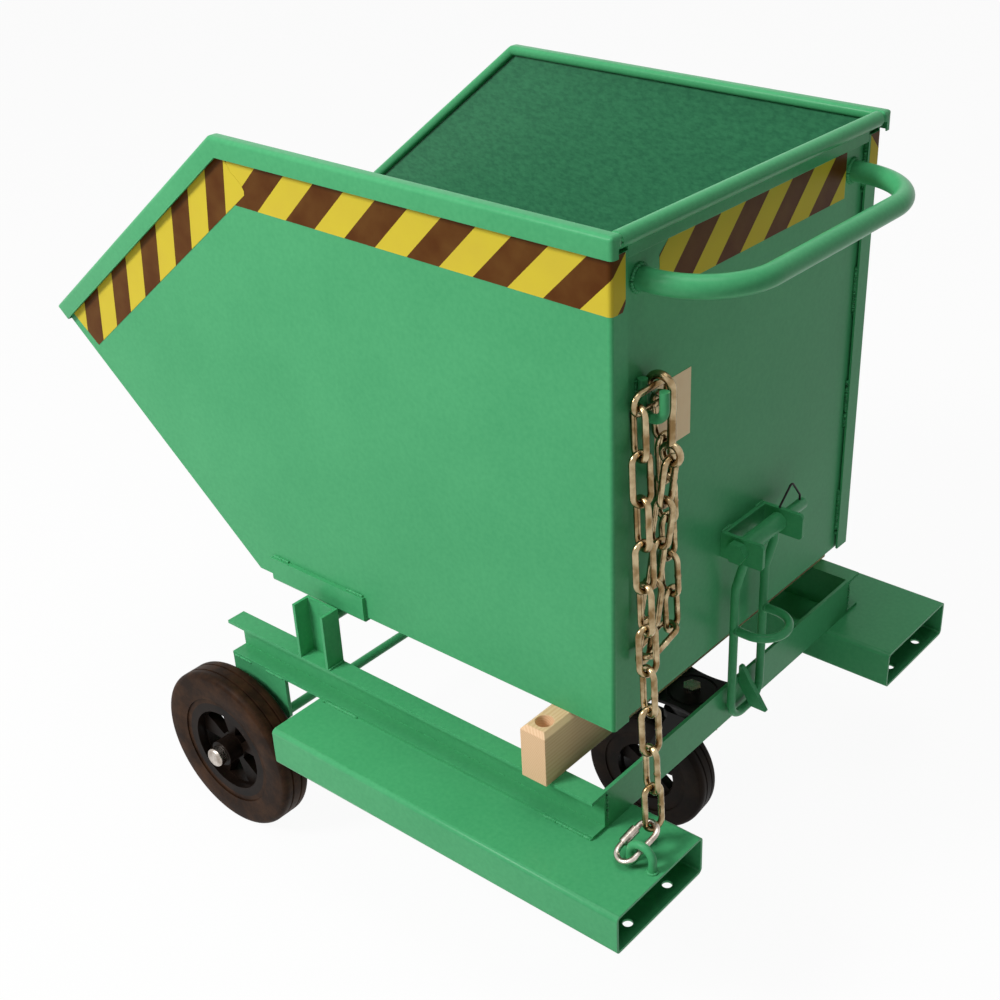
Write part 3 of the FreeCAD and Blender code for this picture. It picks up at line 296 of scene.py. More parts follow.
def moulded(name, clean, dusty, roughness, grain_size, grain_height):
    """A moulded skin with dust in clouds and the grain of its mould."""
    finish, tree, shader, place = new_finish(name)
    dust = add(tree, "TexNoise", {
        "Vector": place, "Scale": per_mm(DUST_CLOUD), "Detail": 6.0, "Roughness": 0.65})
    spread = add(tree, "MapRange", {"Value": dust.outputs[0], "From Min": 0.4, "From Max": 0.75})
    skin = add(tree, "MixRGB", {"Fac": spread.outputs[0], "Color1": linear(clean), "Color2": linear(dusty)})
    grain = add(tree, "TexNoise", {"Vector": place, "Scale": per_mm(grain_size), "Detail": 2.0})
    bump = add(tree, "Bump", {"Height": grain.outputs[0], "Strength": 0.5, "Distance": grain_height * MM})
    shader.inputs["Roughness"].default_value = roughness
    shader.inputs["Specular IOR Level"].default_value = MATT_SPECULAR
    tree.links.new(skin.outputs[0], shader.inputs["Base Color"])
    tree.links.new(bump.outputs[0], shader.inputs["Normal"])
    return finish


tyre_rubber = moulded("solid_tyre_rubber", "#24170f", "#462e1d", 0.5, 2.5, 0.15)
# The castor's tyre is the tyre rubber made blacker: the extra darkness is painted shade under the skip.
castor_rubber_painted_shade = moulded("castor_rubber_with_painted_shade", "#17110e", "#2b2019", 0.5, 2.5, 0.15)
black_nylon = moulded("moulded_black_nylon", "#120d0a", "#241913", 0.4, 1.0, 0.05)
print("moulded", tyre_rubber.name, castor_rubber_painted_shade.name, black_nylon.name)

# %% [markdown]
# ## Planed softwood
# The rest beam is a planed length of pale wood. Growth rings are cylinders about the pith, so one distance
# from a line along the beam gives long grain on its sides and arcs on its ends, as on a sawn timber.

# %% Wood
RING_SPACING = 3.2
RING_WANDER, WANDER_SIZE = 3.0, 12.0
FIBRE_SIZE = 0.9
ALONG_BEAM = (1.0, 0.04, 1.0)
PITH_BESIDE = 70.0
PITH_BELOW = 35.0
beam_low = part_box("rest_beam")[0]


def planed_wood(name, early_wood, late_wood):
    """Rings about a pith beside the beam, broken up by fibres that run along it."""
    finish, tree, shader, place = new_finish(name)
    pith = (beam_low.x - PITH_BESIDE * MM, 0.0, beam_low.z - PITH_BELOW * MM)
    stretched = add(tree, "VectorMath", {0: place, 1: ALONG_BEAM}, operation="MULTIPLY").outputs[0]
    radius = add(tree, "VectorMath", {0: stretched, 1: pith}, operation="DISTANCE")
    wander = add(tree, "TexNoise", {"Vector": stretched, "Scale": per_mm(WANDER_SIZE), "Detail": 3.0})
    shifted = add(tree, "Math", {
        0: wander.outputs[0], 1: RING_WANDER * MM, 2: radius.outputs["Value"]}, operation="MULTIPLY_ADD")
    rings = add(tree, "Math", {
        0: shifted.outputs[0], 1: 2 * math.pi * per_mm(RING_SPACING)}, operation="MULTIPLY")
    wave = add(tree, "Math", {0: rings.outputs[0]}, operation="SINE")
    fibre = add(tree, "TexNoise", {"Vector": stretched, "Scale": per_mm(FIBRE_SIZE), "Detail": 2.0})
    mixed = add(tree, "Math", {0: wave.outputs[0], 1: 0.35, 2: fibre.outputs[0]}, operation="MULTIPLY_ADD")
    spread = add(tree, "MapRange", {"Value": mixed.outputs[0], "From Min": 0.25, "From Max": 1.0})
    grain = add(tree, "MixRGB", {
        "Fac": spread.outputs[0], "Color1": linear(early_wood), "Color2": linear(late_wood)})
    bump = add(tree, "Bump", {"Height": mixed.outputs[0], "Strength": 0.3, "Distance": 0.1 * MM})
    shader.inputs["Roughness"].default_value = 0.6
    tree.links.new(grain.outputs[0], shader.inputs["Base Color"])
    tree.links.new(bump.outputs[0], shader.inputs["Normal"])
    return finish


planed_softwood = planed_wood("planed_softwood", "#ebc59c", "#e0b387")
print("planed", planed_softwood.name, "with rings", RING_SPACING, "mm apart")

# %% [markdown]
# ## Finishes on the frame's own pieces
# The record says which finish each node has, so one table turns its slot names into materials. A few nodes
# have a finish of their own: the skip's four sheets an enamel whose inner coat is darkened by painted shade,
# and the castor's tyre a blacker rubber whose extra darkness is painted shade.

# %% Dress the nodes
FINISHES = {
    "green_enamel": green_enamel, "yellow_zinc": yellow_zinc, "bright_zinc": bright_zinc,
    "bare_steel": bare_steel, "tyre_rubber": tyre_rubber, "black_nylon": black_nylon,
    # The black_enamel slot of the castor gets the black enamel, which is painted shade.
    "black_enamel": black_enamel, "planed_softwood": planed_softwood,
}
SKIP_SHEETS = ("left_side_wall", "right_side_wall", "back_wall", "floor_and_chute")
OWN_FINISHES = {name: skip_enamel_with_inner_shade for name in SKIP_SHEETS}
OWN_FINISHES["castor_wheel_tyre"] = castor_rubber_painted_shade
for subpart in frame["record"]["subparts"]:
    node = frame["nodes"][subpart["node"]]
    node.data.materials.clear()
    node.data.materials.append(OWN_FINISHES.get(subpart["node"], FINISHES[subpart["material_slot"]]))

# %% [markdown]
# ## Soft edges
# A sheared plate, a sawn channel and a planed beam have edges a millimetre round, and paint gathers there, so
# each catches a thin line of light. A bevel modifier gives that without touching the frame's mesh: the
# triangles of a flat face are first joined, so that only the true edges are bevelled, and the normals are
# evened out afterwards.

# %% Bevel the flat pieces
EDGE_ROUND = {"green_enamel": 0.9, "planed_softwood": 1.8, "black_enamel": 0.6}
BENT_PIECES = ("push_handle", "rear_rim_bead", "latch_bail", "latch_hand_loop", "latch_sleeve", "chain_hook",
               "chain_eye", "hinge_shaft", "wheel_axle", "latch_clip", "castor_swivel_ring")
SAME_CORNER = 0.01
bevelled = 0
for subpart in frame["record"]["subparts"]:
    width = EDGE_ROUND.get(subpart["material_slot"])
    if width is None or subpart["node"] in BENT_PIECES:
        continue
    node = frame["nodes"][subpart["node"]]
    node.modifiers.new("join_corners", "WELD").merge_threshold = SAME_CORNER * MM
    flat = node.modifiers.new("join_triangles", "DECIMATE")
    flat.decimate_type = "DISSOLVE"
    flat.angle_limit = math.radians(1.0)
    edge = node.modifiers.new("round_edges", "BEVEL")
    edge.width = width * MM
    edge.segments = 2
    edge.limit_method = "ANGLE"
    edge.angle_limit = math.radians(40.0)
    edge.harden_normals = True
    bevelled += 1
print("bevelled", bevelled, "flat pieces")

# %% [markdown]
# ## New pieces
# What the frame leaves out is thin or small: tape, the fold of the rims, a label plate, weld beads and the
# weld marks of the chain. Boolean cuts and sculpting would lose their sizes, so each is a mesh from points in
# millimetres, in the frame's own place, and rides on the body that carries it.

# %% Helper for new pieces
def new_piece(name, points, faces, finish, body, smooth=False):
    """A mesh piece from points in millimetres that rides on a body."""
    mesh = bpy.data.meshes.new(name)
    mesh.from_pydata([Vector(point) * MM for point in points], [], faces)
    mesh.materials.append(finish)
    shape = bmesh.new()
    shape.from_mesh(mesh)
    bmesh.ops.recalc_face_normals(shape, faces=shape.faces[:])
    shape.to_mesh(mesh)
    shape.free()
    for face in mesh.polygons:
        face.use_smooth = smooth
    if smooth:
        mesh.set_sharp_from_angle(angle=math.radians(45.0))
    piece = bpy.data.objects.new(name, mesh)
    bpy.context.scene.collection.objects.link(piece)
    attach(piece, body)
    return piece


def box_in_mm(node):
    """Lowest and highest corners of a node, in millimetres."""
    return [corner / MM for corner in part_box(node)]


# %% [markdown]
# ## Striped tape
# Self-adhesive vinyl with slanted stripes runs below the rim, is torn off at its ends and wraps round the
# rear bend. The stripes are measured along the tape, so each strip is drawn flat, in millimetres along and
# across, then laid on the steel. The flat place is kept as a UV map, and the shader draws the stripes from
# it.

# %% Tape finish
STRIPE = 51.3
FADING_CLOUD = 40.0
CREASE_SIZE, CREASE_HEIGHT = 9.0, 0.2


def striped_vinyl(name, light, dark, faded_tone):
    """Vinyl with slanted stripes from the UV map, a little faded and creased."""
    finish, tree, shader, place = new_finish(name)
    flat = add(tree, "SeparateXYZ", {0: add(tree, "TexCoord").outputs["UV"]})
    slant = add(tree, "Math", {0: flat.outputs["X"], 1: flat.outputs["Y"]}, operation="SUBTRACT")
    phase = add(tree, "Math", {0: slant.outputs[0], 1: 2 * STRIPE * MM}, operation="FLOORED_MODULO")
    is_dark = add(tree, "Math", {0: phase.outputs[0], 1: STRIPE * MM}, operation="LESS_THAN")
    stripes = add(tree, "MixRGB", {
        "Fac": is_dark.outputs[0], "Color1": linear(light), "Color2": linear(dark)})
    fading = add(tree, "TexNoise", {"Vector": place, "Scale": per_mm(FADING_CLOUD), "Detail": 5.0})
    faded = add(tree, "MapRange", {
        "Value": fading.outputs[0], "From Min": 0.35, "From Max": 0.7, "To Max": 0.1})
    skin = add(tree, "MixRGB", {
        "Fac": faded.outputs[0], "Color1": stripes.outputs[0], "Color2": linear(faded_tone)})
    crease = add(tree, "TexNoise", {"Vector": place, "Scale": per_mm(CREASE_SIZE), "Detail": 3.0})
    bump = add(tree, "Bump", {
        "Height": crease.outputs[0], "Strength": 0.25, "Distance": CREASE_HEIGHT * MM})
    shader.inputs["Roughness"].default_value = 0.4
    shader.inputs["Specular IOR Level"].default_value = MATT_SPECULAR
    tree.links.new(skin.outputs[0], shader.inputs["Base Color"])
    tree.links.new(bump.outputs[0], shader.inputs["Normal"])
    return finish


hazard_tape = striped_vinyl("striped_vinyl_tape", "#d6c13a", "#57300f", "#b98f4a")
print("striped", hazard_tape.name, "every", STRIPE, "mm")

# %% [markdown]
# ## Where the tape lies
# Three small functions turn a flat place on a strip into a place on the steel. The top strip follows the side
# wall, turns round the bend and ends on the rear flange. The slope strip runs straight down to the chute. The
# rear strip sits on the back wall behind the handle.

# %% Places on the steel
wall_low, wall_high = box_in_mm("left_side_wall")
SIDE = wall_low.y
REAR = wall_high.x
BACK = box_in_mm("back_wall")[1].x
BEND = 5.0
TOP_TAPE_LOW = 952.5
REAR_TAPE_LOW = 947.0
SLOPE_CORNER = Vector((-137.0, 0.0, 960.0))
bend_start = REAR - BEND
bend_length = BEND * math.pi / 2
slope_up = (TOP_CORNER - LIP).normalized()
slope_out = Vector((-slope_up.z, 0.0, slope_up.x))


def on_side(along, across, lift):
    """Along the side wall, round its bend and on to the rear flange."""
    radius = BEND + lift
    angle = min(max(along - bend_start, 0.0) / BEND, math.pi / 2)
    x = min(along, bend_start) + radius * math.sin(angle)
    y = SIDE + BEND - radius * math.cos(angle) + max(along - bend_start - bend_length, 0.0)
    return Vector((x, y, TOP_TAPE_LOW + across))


def on_slope(along, across, lift):
    """Up the sloping edge of the side wall."""
    place = SLOPE_CORNER + slope_up * along + slope_out * across
    return Vector((place.x, SIDE - lift, place.z))


def on_back(along, across, lift):
    """Across the back wall."""
    return Vector((BACK + lift, along, REAR_TAPE_LOW + across))


print("side wall at", round(SIDE, 1), "mm, back wall at", round(BACK, 1), "mm")

# %% [markdown]
# ## Laying the tape
# A strip is one flat face with its torn outline, cut where it bends, and a solidify modifier gives it the
# thickness of film. The slope strip was stuck over the top strip's end, so it is lifted twice as high.

# %% Tape strips
TAPE_LIFT = 0.25
TAPE_FILM = 0.18
TOP_TAPE_END = 20.5
BEND_CUTS = 4
bend_cuts = [bend_start + bend_length * step / BEND_CUTS for step in range(BEND_CUTS + 1)]
top_end = bend_cuts[-1] + TOP_TAPE_END
TOP_OUTLINE = [(-150.0, 7.5), (top_end - 5.0, 0.0), (top_end, 9.0), (top_end, 66.0), (-150.0, 66.0)]
SLOPE_OUTLINE = [(-454.0, 0.0), (30.0, 0.0), (31.0, 15.0), (26.0, 34.0), (28.0, 52.5), (18.5, 59.5),
                 (-469.0, 59.5)]
REAR_OUTLINE = [(-190.0, 0.0), (212.0, 0.0), (212.0, 62.5), (-172.0, 62.5), (-192.0, 46.0)]
TOP_PHASE, SLOPE_PHASE, REAR_PHASE = 52.0, -76.3, -184.0


def lay_tape(name, outline, lay, lift, phase, cuts=(), mirror=1):
    """Draw a strip flat, cut it where it bends, keep its flat place as UV, and lay it on the steel."""
    flat = bmesh.new()
    flat.faces.new([flat.verts.new((along, across, 0.0)) for along, across in outline])
    for along in cuts:
        parts = flat.verts[:] + flat.edges[:] + flat.faces[:]
        bmesh.ops.bisect_plane(flat, geom=parts, plane_co=(along, 0.0, 0.0), plane_no=(1.0, 0.0, 0.0))
    flat_place = flat.loops.layers.uv.new("tape")
    for face in flat.faces:
        for loop in face.loops:
            loop[flat_place].uv = ((loop.vert.co.x - phase) * MM, loop.vert.co.y * MM)
    for vert in flat.verts:
        place = lay(vert.co.x, vert.co.y, lift)
        vert.co = Vector((place.x, place.y * mirror, place.z)) * MM
    if mirror < 0:
        bmesh.ops.reverse_faces(flat, faces=flat.faces[:])
    mesh = bpy.data.meshes.new(name)
    flat.to_mesh(mesh)
    flat.free()
    mesh.materials.append(hazard_tape)
    piece = bpy.data.objects.new(name, mesh)
    bpy.context.scene.collection.objects.link(piece)
    film = piece.modifiers.new("film", "SOLIDIFY")
    film.thickness = TAPE_FILM * MM
    film.offset = -1.0
    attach(piece, "skip")


for side, mirror in (("left", 1), ("right", -1)):
    lay_tape(side + "_top_tape", TOP_OUTLINE, on_side, TAPE_LIFT, TOP_PHASE, bend_cuts, mirror)
    lay_tape(side + "_slope_tape", SLOPE_OUTLINE, on_slope, 2 * TAPE_LIFT, SLOPE_PHASE, (), mirror)
lay_tape("rear_tape", REAR_OUTLINE, on_back, TAPE_LIFT, REAR_PHASE)
print("laid 5 strips of tape,", STRIPE, "mm stripes")

# %% [markdown]
# ## The section of a folded rim
# The sheet of each side ends in a stiff rim: a strip folded over the edge, round on top, whose outer leg
# hangs free and whose inner leg is curled back to the sheet. The frame holds it as a plain U. Its section is
# drawn once, as distances from the outer face and below the outline. Towards an end it is filled, which
# closes the rim there.

# %% Rim section
RIM_ROUND = 6.0
RIM_DEPTH = 26.0
RIM_WALL = 2.5
CURL_START = 8.0
SHEET_SEAT = 11.5
ROOF_SPARE = 0.5
FILLED_SPARE = 0.1
ROUND_STEPS = 5
rail_low, rail_high = box_in_mm("left_rim_rail")
RIM_WIDTH = rail_high.y - rail_low.y
quarter = [math.pi / 2 * step / ROUND_STEPS for step in range(ROUND_STEPS + 1)]


def rim_section(filled):
    """The rim's outline, as distance from its outer face and depth; a filled one closes its end."""
    far = RIM_WIDTH - RIM_ROUND
    nose = [(RIM_ROUND - RIM_ROUND * math.cos(t), RIM_ROUND - RIM_ROUND * math.sin(t)) for t in quarter]
    inner = [(far + RIM_ROUND * math.sin(t), RIM_ROUND - RIM_ROUND * math.cos(t)) for t in quarter]
    curl = [(far + RIM_ROUND * math.cos(t), CURL_START + RIM_ROUND * math.sin(t)) for t in quarter]
    roof = RIM_DEPTH - FILLED_SPARE if filled else RIM_WALL + ROOF_SPARE
    seat = [(SHEET_SEAT, CURL_START + RIM_ROUND), (SHEET_SEAT, roof)]
    outer_leg = [(RIM_WALL, roof), (RIM_WALL, RIM_DEPTH)]
    return [(0.0, RIM_DEPTH)] + nose + inner + curl + seat + outer_leg


print("rim section has", len(rim_section(True)), "points,", round(RIM_WIDTH, 1), "mm wide")

# %% [markdown]
# ## The line of a folded rim
# The rim runs from the lip up the slope, round the front corner and back along the top. A sweep along a curve
# would twist the section at the corner, so each depth of the section has its own line: its slope and its top
# meet at that depth's corner, and a small arc joins them. Both ends are drawn in like a rounded nose.

# %% Rim line
CORNER_ROUND = 12.0
LEAST_ROUND = 0.5
slope_in = -slope_out
corner_in = (slope_in.z + 1.0) / slope_in.x
half_turn = math.tan(math.acos(slope_up.x) / 2)
slope_across_chute = slope_up.x * chute_down.z - slope_up.z * chute_down.x


def rim_line(end, share, depth):
    """A point of the rim's line at a depth: at the lip, round the front corner, or at the rear end."""
    pull = RIM_ROUND * (1.0 - math.sin(share * math.pi / 2))
    top_corner = TOP_CORNER + Vector((corner_in * depth, 0.0, -depth))
    if end == "lip":
        start = top_corner - LIP
        run = (start.x * chute_down.z - start.z * chute_down.x) / slope_across_chute
        return top_corner - slope_up * (run - pull)
    if end == "rear":
        return Vector((rail_high.x - pull, 0.0, TOP_CORNER.z - depth))
    reach = max(CORNER_ROUND - depth, LEAST_ROUND) * half_turn
    before = top_corner - slope_up * reach
    after = top_corner + Vector((reach, 0.0, 0.0))
    return before.lerp(top_corner, share).lerp(top_corner.lerp(after, share), share)


print("slope rises", round(math.degrees(math.acos(slope_up.x)), 1), "degrees")

# %% [markdown]
# ## Folding the rims
# Sections at the stations along the line are joined by faces, and the first and last section close the ends.
# The two rims stand for the frame's rails, which stay hidden.

# %% Rims
END_STEPS = 4
CORNER_STEPS = 6
FILLED_FROM = 0.4
STATIONS = [("lip", 1 - step / END_STEPS) for step in range(END_STEPS + 1)]
STATIONS += [("corner", step / CORNER_STEPS) for step in range(CORNER_STEPS + 1)]
STATIONS += [("rear", step / END_STEPS) for step in range(END_STEPS + 1)]
section_count = len(rim_section(True))
for side, mirror in (("left", 1), ("right", -1)):
    rim_points, rim_faces = [], []
    for end, share in STATIONS:
        inset = 0.0 if end == "corner" else RIM_ROUND * (1.0 - math.cos(share * math.pi / 2))
        for away, depth in rim_section(end != "corner" and share > FILLED_FROM):
            line = rim_line(end, share, max(depth, inset))
            away = min(max(away, inset), RIM_WIDTH - inset)
            rim_points.append((line.x, (rail_low.y + away) * mirror, line.z))
    last_section = len(rim_points) - section_count
    for near in range(0, last_section, section_count):
        far = near + section_count
        for step in range(section_count):
            beside = (step + 1) % section_count
            rim_faces.append((near + step, near + beside, far + beside, far + step))
    rim_faces += [tuple(range(section_count)), tuple(range(last_section, len(rim_points)))]
    rim = new_piece(side + "_folded_rim", rim_points, rim_faces, green_enamel, "skip", smooth=True)
    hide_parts(side + "_rim_rail")
print("folded 2 rims", round(RIM_WIDTH, 1), "mm wide")

# %% [markdown]
# ## Label plate
# A bare tan label, a film on a thin plate, is stuck on the back wall beside the stowing hook. It could be a
# patch of colour in the enamel, but a faint mottle and a slightly raised edge make it a piece of its own.

# %% Label
LABEL_LEFT, LABEL_RIGHT = -199.0, -127.0
LABEL_LOW, LABEL_HIGH = 752.0, 838.0
LABEL_WALL = 0.6
LABEL_EDGE = 0.2
LABEL_MOTTLE = 18.0
label_finish, label_tree, label_shader, label_place = new_finish("blank_label_film")
mottle = add(label_tree, "TexNoise", {"Vector": label_place, "Scale": per_mm(LABEL_MOTTLE), "Detail": 5.0})
label_skin = add(label_tree, "MixRGB", {
    "Fac": mottle.outputs[0], "Color1": linear("#ffe6ba"), "Color2": linear("#f8d6a4")})
label_tree.links.new(label_skin.outputs[0], label_shader.inputs["Base Color"])
label_shader.inputs["Roughness"].default_value = 0.5
label_corners = [(LABEL_LEFT, LABEL_LOW), (LABEL_RIGHT, LABEL_LOW),
                 (LABEL_RIGHT, LABEL_HIGH), (LABEL_LEFT, LABEL_HIGH)]
label_points = [(BACK + depth, y, z) for depth in (0.0, LABEL_WALL) for y, z in label_corners]
label_faces = [(4, 5, 6, 7), (0, 3, 2, 1)] + [(i, (i + 1) % 4, (i + 1) % 4 + 4, i + 4) for i in range(4)]
label = new_piece("label_plate", label_points, label_faces, label_finish, "skip")
label.modifiers.new("round_edges", "BEVEL").width = LABEL_EDGE * MM
print("label", LABEL_RIGHT - LABEL_LEFT, "x", LABEL_HIGH - LABEL_LOW, "mm")

# %% [markdown]
# ## Weld beads
# The skip and frame are joined by hand-laid fillet welds, which show as rippled ridges under the paint. Bump
# in the paint would leave the outline straight, so a ridge is a tube along the seam, half sunk in the steel,
# whose thickness swells every few millimetres as the arc moved on.

# %% Weld paths
RIPPLE = 3.4
RIPPLE_POINTS = 3
WANDER_SHARE = 14
bead_random = random.Random(7)


def seam(start, end, width):
    """Points of a straight weld, with the wander of a hand."""
    start, end = Vector(start), Vector(end)
    count = max(4, round((end - start).length / (RIPPLE / RIPPLE_POINTS)))
    wander = width / WANDER_SHARE
    points = []
    for step in range(count + 1):
        jitter = Vector([bead_random.uniform(-wander, wander) for axis in range(3)])
        points.append(start.lerp(end, step / count) + jitter)
    return points, width


def ring(centre, axis, radius, width):
    """Points of a weld round a bar."""
    turn = Vector(axis).to_track_quat("Z", "X")
    count = max(12, round(2 * math.pi * radius / (RIPPLE / RIPPLE_POINTS)))
    points = []
    for step in range(count + 1):
        angle = 2 * math.pi * step / count
        around = Vector((radius * math.cos(angle), radius * math.sin(angle), 0.0))
        points.append(Vector(centre) + turn @ around)
    return points, width


# %% [markdown]
# ## From paths to beads
# All welds on one body are one mesh. At each point of a path a ring of corners is set square to the path, and
# neighbouring rings are joined. A straight weld tapers at its ends, where the arc was struck and broken.

# %% Lay beads
BEAD_SIDES = 8
SWELL_MIDDLE, SWELL_REACH = 0.86, 0.14
END_TAPER = 0.45
CLOSED_GAP = 0.01


def lay_beads(name, welds, body):
    """One mesh with a rippled tube along each weld, tapered at its ends."""
    points, faces = [], []
    for path, width in welds:
        first = len(points)
        final = len(path) - 1
        closed = (path[0] - path[-1]).length < CLOSED_GAP
        for step, point in enumerate(path):
            ahead = (path[min(step + 1, final)] - path[max(step - 1, 0)]).normalized()
            turn = ahead.to_track_quat("Z", "X")
            swell = SWELL_MIDDLE + SWELL_REACH * math.cos(2 * math.pi * step / RIPPLE_POINTS)
            if step in (0, final):
                swell = 1.0 if closed else END_TAPER
            radius = width / 2 * swell
            for side in range(BEAD_SIDES):
                angle = 2 * math.pi * side / BEAD_SIDES
                around = Vector((radius * math.cos(angle), radius * math.sin(angle), 0.0))
                points.append(point + turn @ around)
        for step in range(final):
            low = first + step * BEAD_SIDES
            high = low + BEAD_SIDES
            for side in range(BEAD_SIDES):
                beside = (side + 1) % BEAD_SIDES
                faces.append((low + side, low + beside, high + beside, high + side))
        last = len(points) - BEAD_SIDES
        faces.append(tuple(range(first + BEAD_SIDES - 1, first - 1, -1)))
        faces.append(tuple(range(last, last + BEAD_SIDES)))
    piece = new_piece(name, points, faces, green_enamel, body, smooth=True)
    print(name, len(welds), "welds")


# %% [markdown]
# ## Welds of the skip
# Short stitches hold the long seams, because a full weld would warp the sheet: along the edge of the rear
# flange, on the hinge bracket and over the latch bracket. The handle and the rim's bead are round, and are
# welded all round. The skip is the same on both sides, so one function makes half of the welds, and a mirror
# of 1 and then of -1 gives them all.

# %% Skip welds
STITCH, PLATE_WELD, THIN_WELD = 5.5, 5.0, 4.5
HANDLE_WELD, BEAD_WELD = 6.5, 5.2
STAND_OFF = 0.8
FLANGE_EDGE = 256.5
FLANGE_STITCHES = ((430, 503), (602, 677), (775, 842), (945, 1008))
FLANGE_RISE = 1.8
BRACKET_STITCH, BRACKET_INSET, BRACKET_RISE = 32, 2, 1.2
HANDLE_RISE = 1.0
LATCH_STITCH, LATCH_RISE = (30, 49), 0.5
bracket_low, bracket_high = box_in_mm("left_hinge_bracket")
latch_top = box_in_mm("latch_bracket")[1].z
handle_low, handle_high = box_in_mm("push_handle")
handle_radius = (handle_high.z - handle_low.z) / 2
handle_middle = (handle_low.z + handle_high.z) / 2
bead_low, bead_high = box_in_mm("rear_rim_bead")
bead_middle = (bead_low + bead_high) / 2
bead_radius = (bead_high.z - bead_low.z) / 2


def skip_side_welds(mirror):
    """Half of the skip's welds; the other mirror gives the other half."""
    welds = []
    flange_x, flange_y = BACK + FLANGE_RISE, -(FLANGE_EDGE - STAND_OFF) * mirror
    for low, high in FLANGE_STITCHES:
        welds.append(seam((flange_x, flange_y, low), (flange_x, flange_y, high), STITCH))
    bracket_y, bracket_z = (SIDE - BRACKET_RISE) * mirror, bracket_high.z + STAND_OFF
    for start in (bracket_low.x + BRACKET_INSET, bracket_high.x - BRACKET_INSET - BRACKET_STITCH):
        end = start + BRACKET_STITCH
        welds.append(seam((start, bracket_y, bracket_z), (end, bracket_y, bracket_z), PLATE_WELD))
    handle_end = (BACK + STAND_OFF, (handle_low.y + handle_radius) * mirror, handle_middle)
    welds.append(ring(handle_end, (1, 0, 0), handle_radius + HANDLE_RISE, HANDLE_WELD))
    latch_x, latch_z = BACK + LATCH_RISE, latch_top + LATCH_RISE
    near, far = (beside * mirror for beside in LATCH_STITCH)
    welds.append(seam((latch_x, near, latch_z), (latch_x, far, latch_z), PLATE_WELD))
    bead_end = (bead_middle.x, bead_low.y * mirror, bead_middle.z)
    welds.append(ring(bead_end, (0, 1, 0), bead_radius - BEAD_WELD / 2, BEAD_WELD))
    return welds


print("flange stitches", [high - low for low, high in FLANGE_STITCHES], "mm long")

# %% [markdown]
# ## Welds of the frame
# The side channel is stitched to the fork pocket and to the wheel bracket below it, the pivot upright is
# welded across both ends of its foot, and the rear cross member where its end meets the side channel. The
# seams are placed from the boxes of the pieces that they join, so they follow them.

# %% Frame welds
POCKET_STITCHES = ((374, 453), (-32, 36))
POCKET_RISE = 1.0
POST_RISE = 0.6
AXLE_STITCH, AXLE_INSET, AXLE_SUNK = 36, 4, 0.2
CROSS_SUNK, CROSS_START, CROSS_END = 0.4, 4, 3
POCKET_TOP = box_in_mm("left_fork_pocket")[1].z
channel_low, channel_high = box_in_mm("left_side_channel")
post_low, post_high = box_in_mm("left_pivot_upright")
axle_plate_low, axle_plate_high = box_in_mm("left_wheel_bracket")


def frame_side_welds(mirror):
    """Half of the frame's welds; the other mirror gives the other half."""
    welds = []
    pocket_y, pocket_z = (channel_low.y - POCKET_RISE) * mirror, POCKET_TOP + STAND_OFF
    for start, end in POCKET_STITCHES:
        welds.append(seam((start, pocket_y, pocket_z), (end, pocket_y, pocket_z), STITCH))
    post_z = channel_high.z + STAND_OFF
    for x in (post_low.x - POST_RISE, post_high.x + POST_RISE):
        welds.append(seam((x, post_low.y * mirror, post_z), (x, post_high.y * mirror, post_z), PLATE_WELD))
    plate_y = (channel_low.y + AXLE_SUNK) * mirror
    for start in (axle_plate_low.x + AXLE_INSET, axle_plate_high.x - AXLE_INSET - AXLE_STITCH):
        end = start + AXLE_STITCH
        welds.append(seam((start, plate_y, POCKET_TOP), (end, plate_y, POCKET_TOP), THIN_WELD))
    cross_x, cross_y = REAR - CROSS_SUNK, -channel_high.y * mirror
    welds.append(seam((cross_x, cross_y, POCKET_TOP + CROSS_START),
                      (cross_x, cross_y, channel_high.z - CROSS_END), PLATE_WELD))
    return welds


print("pocket stitches", [end - start for start, end in POCKET_STITCHES], "mm long")

# %% [markdown]
# ## All the welds
# The mirrored welds come first, with the hand loop's on the latch. Then come the chain's eye on its fork
# pocket, the stowing hook on the back wall, and the back wall's two top corners, where a thick weld closes
# the gap under the rims.

# %% Welds
EYE_RISE = 0.6
HOOK_STITCH = (30, 2)
CORNER_INSET, CORNER_WELD = 7.0, 11.5
CORNER_BELOW, CORNER_ABOVE = 3, 4
LOOP_JOINT = Vector((468.2, 36.0, 425.0))
LOOP_RING, LOOP_WELD = 6.3, 3.2
skip_welds, frame_welds, latch_welds = [], [], []
for mirror in (1, -1):
    skip_welds += skip_side_welds(mirror)
    frame_welds += frame_side_welds(mirror)
    loop_end = (LOOP_JOINT.x, LOOP_JOINT.y * mirror, LOOP_JOINT.z)
    latch_welds.append(ring(loop_end, (1, 0, 0), LOOP_RING, LOOP_WELD))
eye_low, eye_high = box_in_mm("chain_eye")
eye_radius = (eye_high.y - eye_low.y) / 2
eye_y = (eye_low.y + eye_high.y) / 2
for x in (eye_low.x + eye_radius, eye_high.x - eye_radius):
    eye_foot = (x, eye_y, POCKET_TOP + EYE_RISE)
    frame_welds.append(ring(eye_foot, (0, 0, 1), eye_radius + EYE_RISE, THIN_WELD))
hook_low, hook_high = box_in_mm("chain_hook")
hook_x = BACK + STAND_OFF
hook_start, hook_end = (hook_high.z - below for below in HOOK_STITCH)
for y in (hook_low.y, hook_high.y):
    skip_welds.append(seam((hook_x, y, hook_start), (hook_x, y, hook_end), THIN_WELD))
corner_x = BACK - SHEET / 2
corner_start = TOP_CORNER.z - RIM_DEPTH - CORNER_BELOW
corner_end = bead_low.z + CORNER_ABOVE
for y in (SIDE + CORNER_INSET, -SIDE - CORNER_INSET):
    skip_welds.append(seam((corner_x, y, corner_start), (corner_x, y, corner_end), CORNER_WELD))
lay_beads("skip_weld_beads", skip_welds, "skip")
lay_beads("frame_weld_beads", frame_welds, "frame")
lay_beads("latch_weld_beads", latch_welds, "latch")

